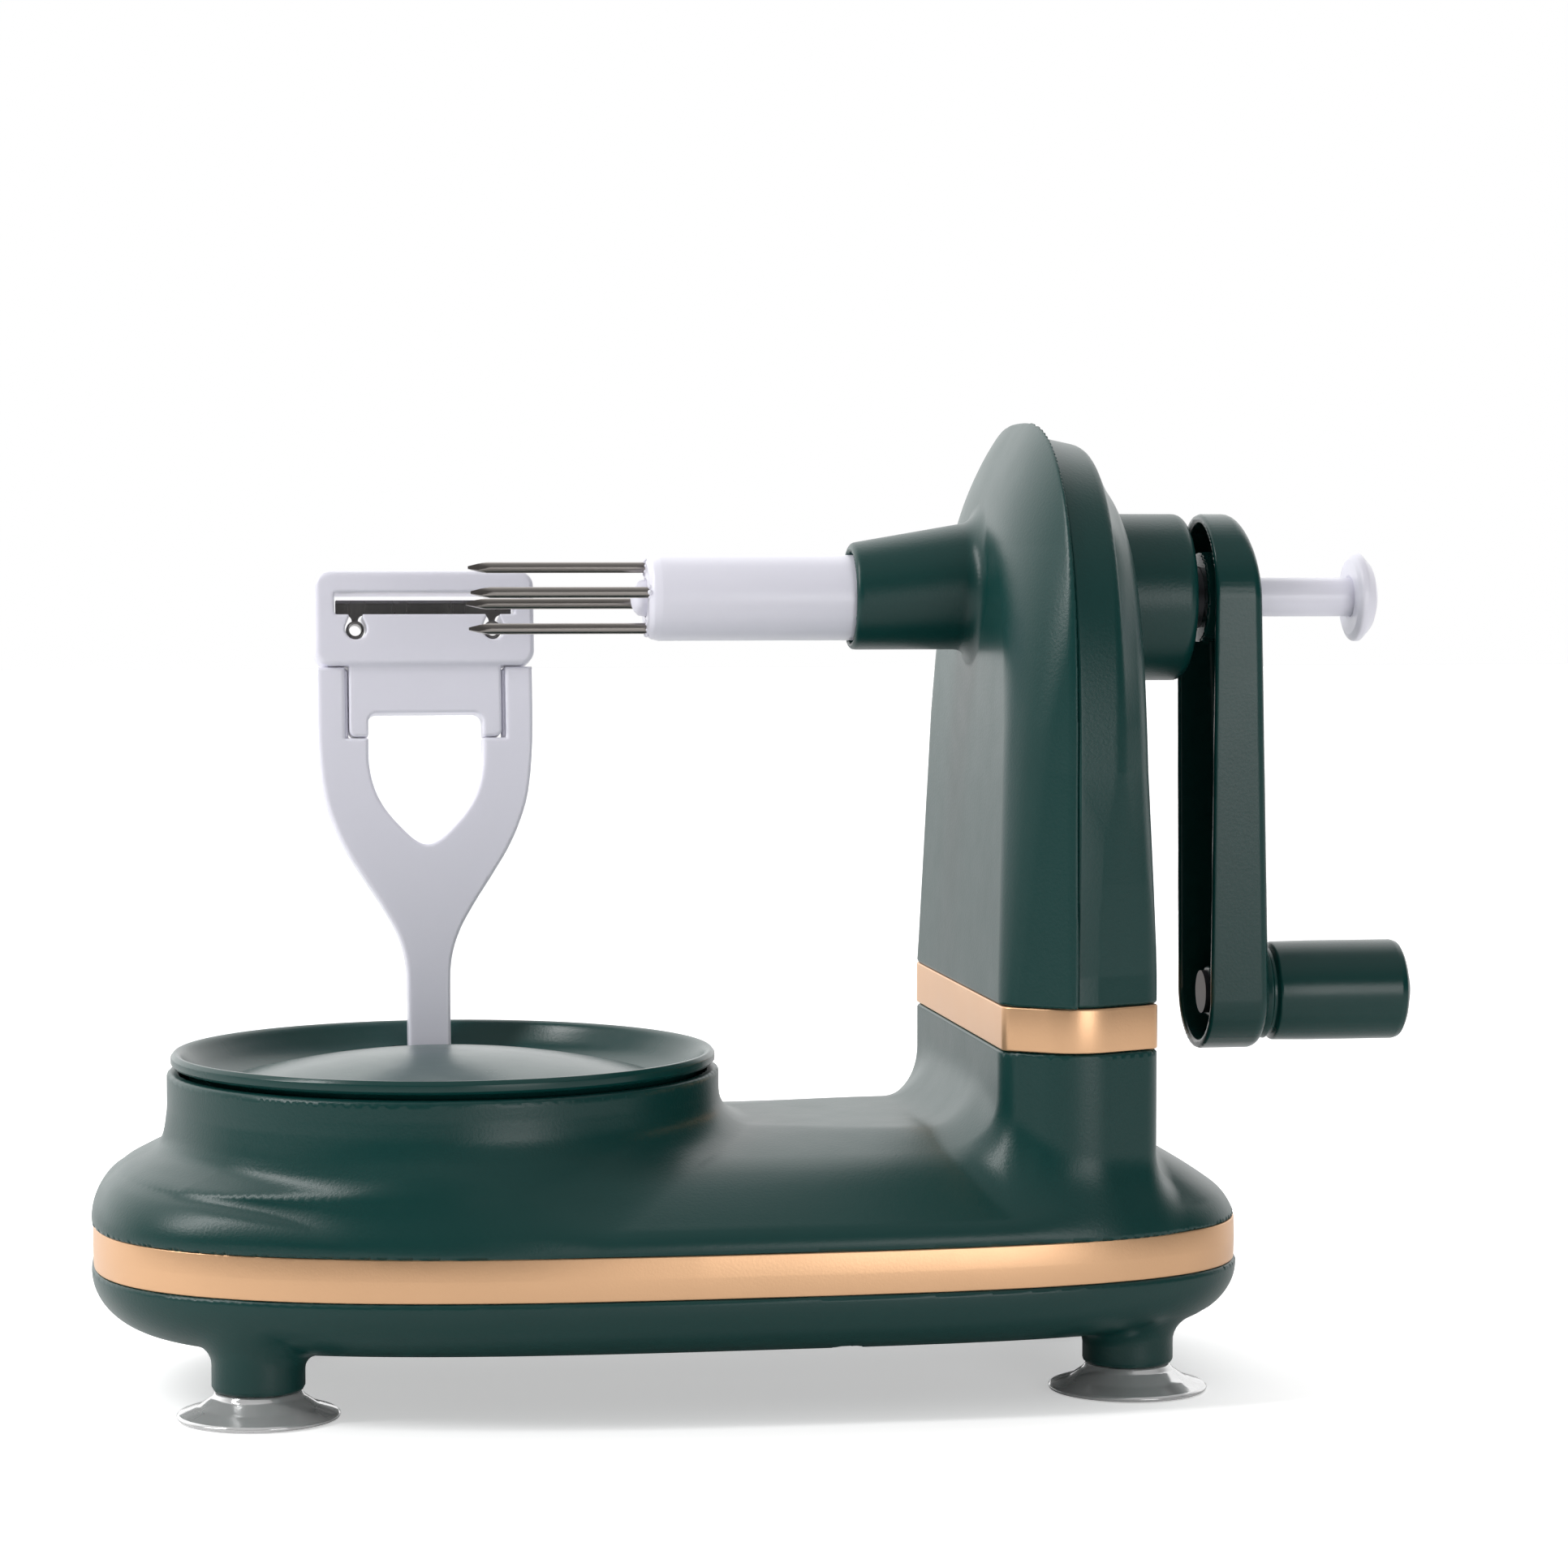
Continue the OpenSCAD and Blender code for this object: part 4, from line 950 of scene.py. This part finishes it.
def crank_arm(x, y, z):
    """Hollow crank, open towards the tower, with bosses for the spindle and the pin."""
    d = polygon(y, z - AXIS_Z, CRANK_OUTLINE)
    lip, face = ARM[0][0], ARM[1][0]
    out = face - 0.030 * np.maximum(z - GRIP_Z, 0) - 0.0065 * np.maximum(z - AXIS_Z, 0) ** 2
    outer = meet(d, x - out, 2.4)
    outer = meet(outer, lip - x, 0.8)
    inner = meet(d + 2.1, x - out + 2.4, 2.0)
    arm = cut(outer, inner, 0.8)
    hub = np.maximum(rod(y, z - AXIS_Z, 10.5), slab(x, lip + 0.2, face - 2.5))
    pin = np.maximum(rod(y, z - GRIP_Z, 6), slab(x, lip + 3, face - 1))
    arm = np.minimum(arm, np.minimum(hub, pin))
    arm = np.maximum(arm, -np.maximum(rod(y, z - AXIS_Z, 7.02), x - (face - 3.25)))
    arm = np.maximum(arm, -rod(y, z - AXIS_Z, 4.8))
    return np.maximum(arm, -rod(y, z - GRIP_Z, 3.03))


def build_fork():
    x0, x1 = SLEEVE[0][0], SLEEVE[1][0]
    r = half(SLEEVE, 1) + 0.25
    profile = fillet([(4.4, x0 + 14), (4.4, x0), (r - 1.6, x0), (r - 0.4, x0 + 1.1),
                      (r, x0 + 3), (r, x1), (4.3, x1), (4.3, x0 + 14), (4.4, x0 + 14)],
                     [0, 0.4, 1.2, 1.5, 2, 0.5, 0.2, 0, 0], 5)[:-1]
    place(on_axis("sleeve", [*profile, profile[0]], WHITE), "crank", "white_plastic",
          "fork_sleeve")
    tines = [place(tine(f"tine_{i}", a), "crank", "bright_steel")
             for i, a in enumerate(TINE_ANGLES)]
    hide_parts("fork_tines")
    place(bead_ring("tine_beads"), "crank", "white_plastic")
    place(solid("crank", crank_arm, *ARM, 0.8, GREEN_FINE), "crank", "green_shell", "crank_arm")


def build_grip():
    x0, x1 = GRIP[0][0], CAP[1][0]
    r = half(GRIP, 1)
    profile = fillet([(3.05, x0), (r - 0.9, x0), (r - 0.5, x0 + 1.6), (r - 1.5, x0 + 2.1),
                      (r - 1.5, x0 + 2.8), (r - 0.15, x0 + 3.4), (r, x0 + 12), (r, x1 - 4.4),
                      (r - 0.4, x1 - 3.1), (r - 1.9, x1 - 2.3), (7.7, x1 - 2.2), (7.6, x1 - 4.6),
                      (5.8, x1 - 4.6), (5.8, x1 - 10.3), (3.05, x1 - 10.3), (3.05, x0)],
                     [0, .3, .3, .2, .2, .8, 3, 2, 1, .8, .2, .1, .1, .1, .1, 0], 4)
    grip = lathe("grip_sleeve", profile, GREEN_FINE, axis="X", at=(0, 0, GRIP_Z), turns=96)
    place(grip, "grip", "green_shell", "crank_grip")
    cap = fillet([(0, x1 - 4.6), (7.4, x1 - 4.6), (7.4, x1 - 2.4), (5.6, x1 - 0.8), (0, x1)],
                 [0, .2, 1.2, 3, 0], 6)
    place(lathe("grip_end", cap, GREEN_FINE, axis="X", at=(0, 0, GRIP_Z), turns=64), "grip",
          "green_shell", "grip_cap")


def build_ejector():
    x0, x1 = STEM[0][0], KNOB[1][0]
    r, k = half(STEM, 1), half(KNOB, 1)
    a = KNOB[0][0]
    stem = fillet([(0, x0), (r, x0), (r, a + 0.4), (0, a + 0.4)], [0, .5, .1, 0], 4)
    place(on_axis("push_stem", stem, WHITE, 64), "ejector", "white_plastic", "ejector_stem")
    knob = fillet([(0, a + 0.3), (r, a + 0.3), (r + 0.6, a), (k - 1.6, a), (k, a + 0.7),
                   (k, a + 2.2), (k - 2.6, x1 - 1.4), (4.5, x1 - 0.15), (0, x1)],
                  [0, .3, .3, .8, 1, 1, 3, 4, 0], 6)
    place(on_axis("push_knob", knob, WHITE), "ejector", "white_plastic", "ejector_knob")
    t0, t1 = TIP[0][0], TIP[1][0]
    tip_r = half(TIP, 1)
    dome = [(tip_r * math.sin(t), t0 + 2.6 * (1 - math.cos(t)))
            for t in np.linspace(0, math.pi / 2, 10)]
    place(on_axis("push_tip", [*dome, (tip_r, t1), (0, t1)], WHITE, 64), "ejector",
          "white_plastic", "ejector_tip")


# ---- peeler arm -------------------------------------------------------------

# The arm's pieces are made upright, with the pivot at (0, 0, 0).
LEAN = math.radians(8)
ARM_T = 8.0
SEAT_Z, BAR_Z, BAR_TOP = 79.4, 96.6, 119.6      # ends of the holder's legs, and its bar
BODY_HW, LEG_GAP_HW = 18.4, 13.8
SLOT_Z, EYE_X, EYE_Z = 109.0, 16.6, 105.5       # blade slot and the eyes under it


def leaned(name, field, lo, hi, cell, mat):
    """A piece made upright, then moved to the pivot and leaned outwards."""
    obj = solid(name, field, lo, hi, cell, mat)
    turn = Matrix.Translation(Vector(PIVOT * MM)) @ Matrix.Rotation(-LEAN, 4, "X")
    normals = [turn.to_3x3() @ n.vector for n in obj.data.corner_normals]
    obj.data.transform(turn)
    obj.data.normals_split_custom_set(normals)
    return obj


def yoke_outline():
    """Half of the arm's front view: the side, the holder's seat and the pointed hole."""
    side = curve([(5.1, -4), (5.1, 18), (5.6, 26), (7.6, 32.5), (11.2, 39), (15.4, 45.5),
                  (19.4, 52), (22.4, 58.5), (24.6, 66), (25.8, 78), (26, BAR_Z - 0.3)])
    hole = curve([(LEG_GAP_HW, 77.5), (13.7, 73), (12.9, 68.5), (11.4, 64.5), (9.2, 61), (6.6, 58),
                  (3.9, 55.3), (1.7, 53.8), (0, 53.4)])
    return [*side, (BODY_HW + 0.9, BAR_Z - 0.3), (BODY_HW + 0.9, SEAT_Z - 0.3),
            (LEG_GAP_HW, SEAT_Z - 0.3), *hole, (-9, 53.4), (-9, -4), (0, -4)]


YOKE = yoke_outline()


def yoke(x, y, z):
    w = np.abs(x)
    body = meet(polygon(w, z, YOKE), np.abs(y) - ARM_T / 2, 0.9)
    # thin guide rails close the gaps beside the holder's legs
    rail = np.maximum(slab(w, BODY_HW + 0.15, BODY_HW + 1.2), slab(z, SEAT_Z - 1, BAR_Z - 0.6))
    body = np.minimum(body, np.maximum(rail, np.abs(y) - 2.4))
    foot = meet(rod(y, z, 4), w - 5.1, 0.5)
    body = meet(body, -z - 1, 0.3)
    return cut(np.minimum(body, foot), rod(y, z, 1.55), 0.2)


def rounded_box(u, v, lo, hi, r):
    """Rectangle between two corners, with rounded corners."""
    cu, cv = (lo[0] + hi[0]) / 2, (lo[1] + hi[1]) / 2
    a = np.abs(u - cu) - (hi[0] - lo[0]) / 2 + r
    b = np.abs(v - cv) - (hi[1] - lo[1]) / 2 + r
    return np.hypot(np.maximum(a, 0), np.maximum(b, 0)) + np.minimum(np.maximum(a, b), 0) - r


def holder(x, y, z):
    """Head that carries the blade: a rounded frame on a body with two legs."""
    w = np.abs(x)
    head = rounded_box(x, z, (-HOLDER_HW, BAR_Z), (HOLDER_HW, BAR_TOP), 3.7)
    head = meet(head, np.abs(y) - ARM_T / 2 - 1, 1.3)
    body = rounded_box(x, z, (-BODY_HW, SEAT_Z), (BODY_HW, BAR_Z + 8), 1.6)
    gap = rounded_box(x, z, (-LEG_GAP_HW, SEAT_Z - 9), (LEG_GAP_HW, SEAT_Z + 5.7), 2.2)
    body = cut(body, gap, 0.5)
    body = meet(body, np.abs(y) - ARM_T / 2, 0.7)
    d = join(head, body, 0.5)
    d = cut(d, rounded_box(x, z, (-21.7, SLOT_Z), (21.7, SLOT_Z + 5.4), 0.5), 0.5)
    eye = rod(w - EYE_X, z - EYE_Z, 2.6)
    neck = np.maximum(np.abs(w - EYE_X) - 1.5, slab(z, EYE_Z, SLOT_Z + 2))
    return cut(d, join(eye, neck, 1.2), 0.45)


def blade(x, y, z):
    """Ground strip with waisted lugs that hook into the holder's eyes."""
    w = np.abs(x)
    strip = rounded_box(x, z, (-21.3, SLOT_Z + 0.25), (21.3, SLOT_Z + 3.95), 0.3)
    neck = np.maximum(np.abs(w - EYE_X) - 0.75, slab(z, EYE_Z + 1.6, SLOT_Z + 1))
    d = join(strip, neck, 1.4)
    edge = (np.abs(y) - 0.4 + 0.25 * np.maximum(z - SLOT_Z - 3.1, 0)) * 0.97
    return meet(d, edge, 0.15)


def lugs(x, y, z):
    """Rolled ends of the blade's necks: short tubes lying in the eyes."""
    r = rod(np.abs(x) - EYE_X, z - EYE_Z, 2.2)
    tube = np.maximum(r, -(r + 0.75))
    return meet(tube, np.abs(y) - 2.2, 0.25)


def build_arm():
    place(leaned("yoke", yoke, (-26, -4, -4), (26, 4, BAR_Z), 0.62, WHITE), "arm",
          "white_plastic", "peeler_arm")
    place(leaned("blade_head", holder, (-HOLDER_HW, -5, SEAT_Z), (HOLDER_HW, 5, BAR_TOP), 0.55,
                 WHITE), "head", "white_plastic", "blade_holder")
    place(leaned("blade_strip", blade, (-21.5, -0.5, EYE_Z), (21.5, 0.5, SLOT_Z + 4.2), 0.25,
                 BLADE_STEEL), "head", "bright_steel", "peeling_blade")
    place(leaned("blade_lugs", lugs, (-EYE_X - 2.3, -2.3, EYE_Z - 2.3),
                 (EYE_X + 2.3, 2.3, EYE_Z + 2.3), 0.25, BLADE_STEEL), "head", "bright_steel",
          "blade_pegs")


# ---- build ------------------------------------------------------------------

def build_floor():
    """Plain pale floor, which glows a little only where the camera sees it directly."""
    half, step = 6000, 500
    line = np.arange(-half, half + 1, step)
    verts = [(x, y, -0.2) for y in line for x in line]
    n = len(line)
    faces = [(j * n + i, j * n + i + 1, (j + 1) * n + i + 1, (j + 1) * n + i)
             for j in range(n - 1) for i in range(n - 1)]
    pale = material("pale_floor", (0.93, 0.93, 0.93), 0.75, vary=0.003, bump=0.0)
    tree = pale.node_tree
    path, lift = tree.nodes.new("ShaderNodeLightPath"), tree.nodes.new("ShaderNodeMath")
    lift.operation = "MULTIPLY"
    lift.inputs[1].default_value = 0.46
    tree.links.new(path.outputs["Is Camera Ray"], lift.inputs[0])
    bsdf = tree.nodes["Principled BSDF"]
    bsdf.inputs["Emission Color"].default_value = (1, 1, 1, 1)
    tree.links.new(lift.outputs[0], bsdf.inputs["Emission Strength"])
    piece("floor", verts, faces, pale)


add_camera()
add_world()
build_floor()
add_light("key", (-1.02, -0.16, 0.86), (0, 0, 0.18), 0.14, 0.8, 8.5)
add_light("front_box", (0.60, -1.48, 0.25), (0.06, 0, 0.15), 0.75, 0.5, 4.9)

for node, obj in frame["nodes"].items():
    slot = next(s["material_slot"] for s in frame["record"]["subparts"] if s["node"] == node)
    obj.data.materials.clear()
    obj.data.materials.append(SLOT_MATERIALS[slot])

build_base()
build_pan_screws()
build_cups()
build_tower()
build_turntable()
build_fork()
build_grip()
build_ejector()
build_arm()
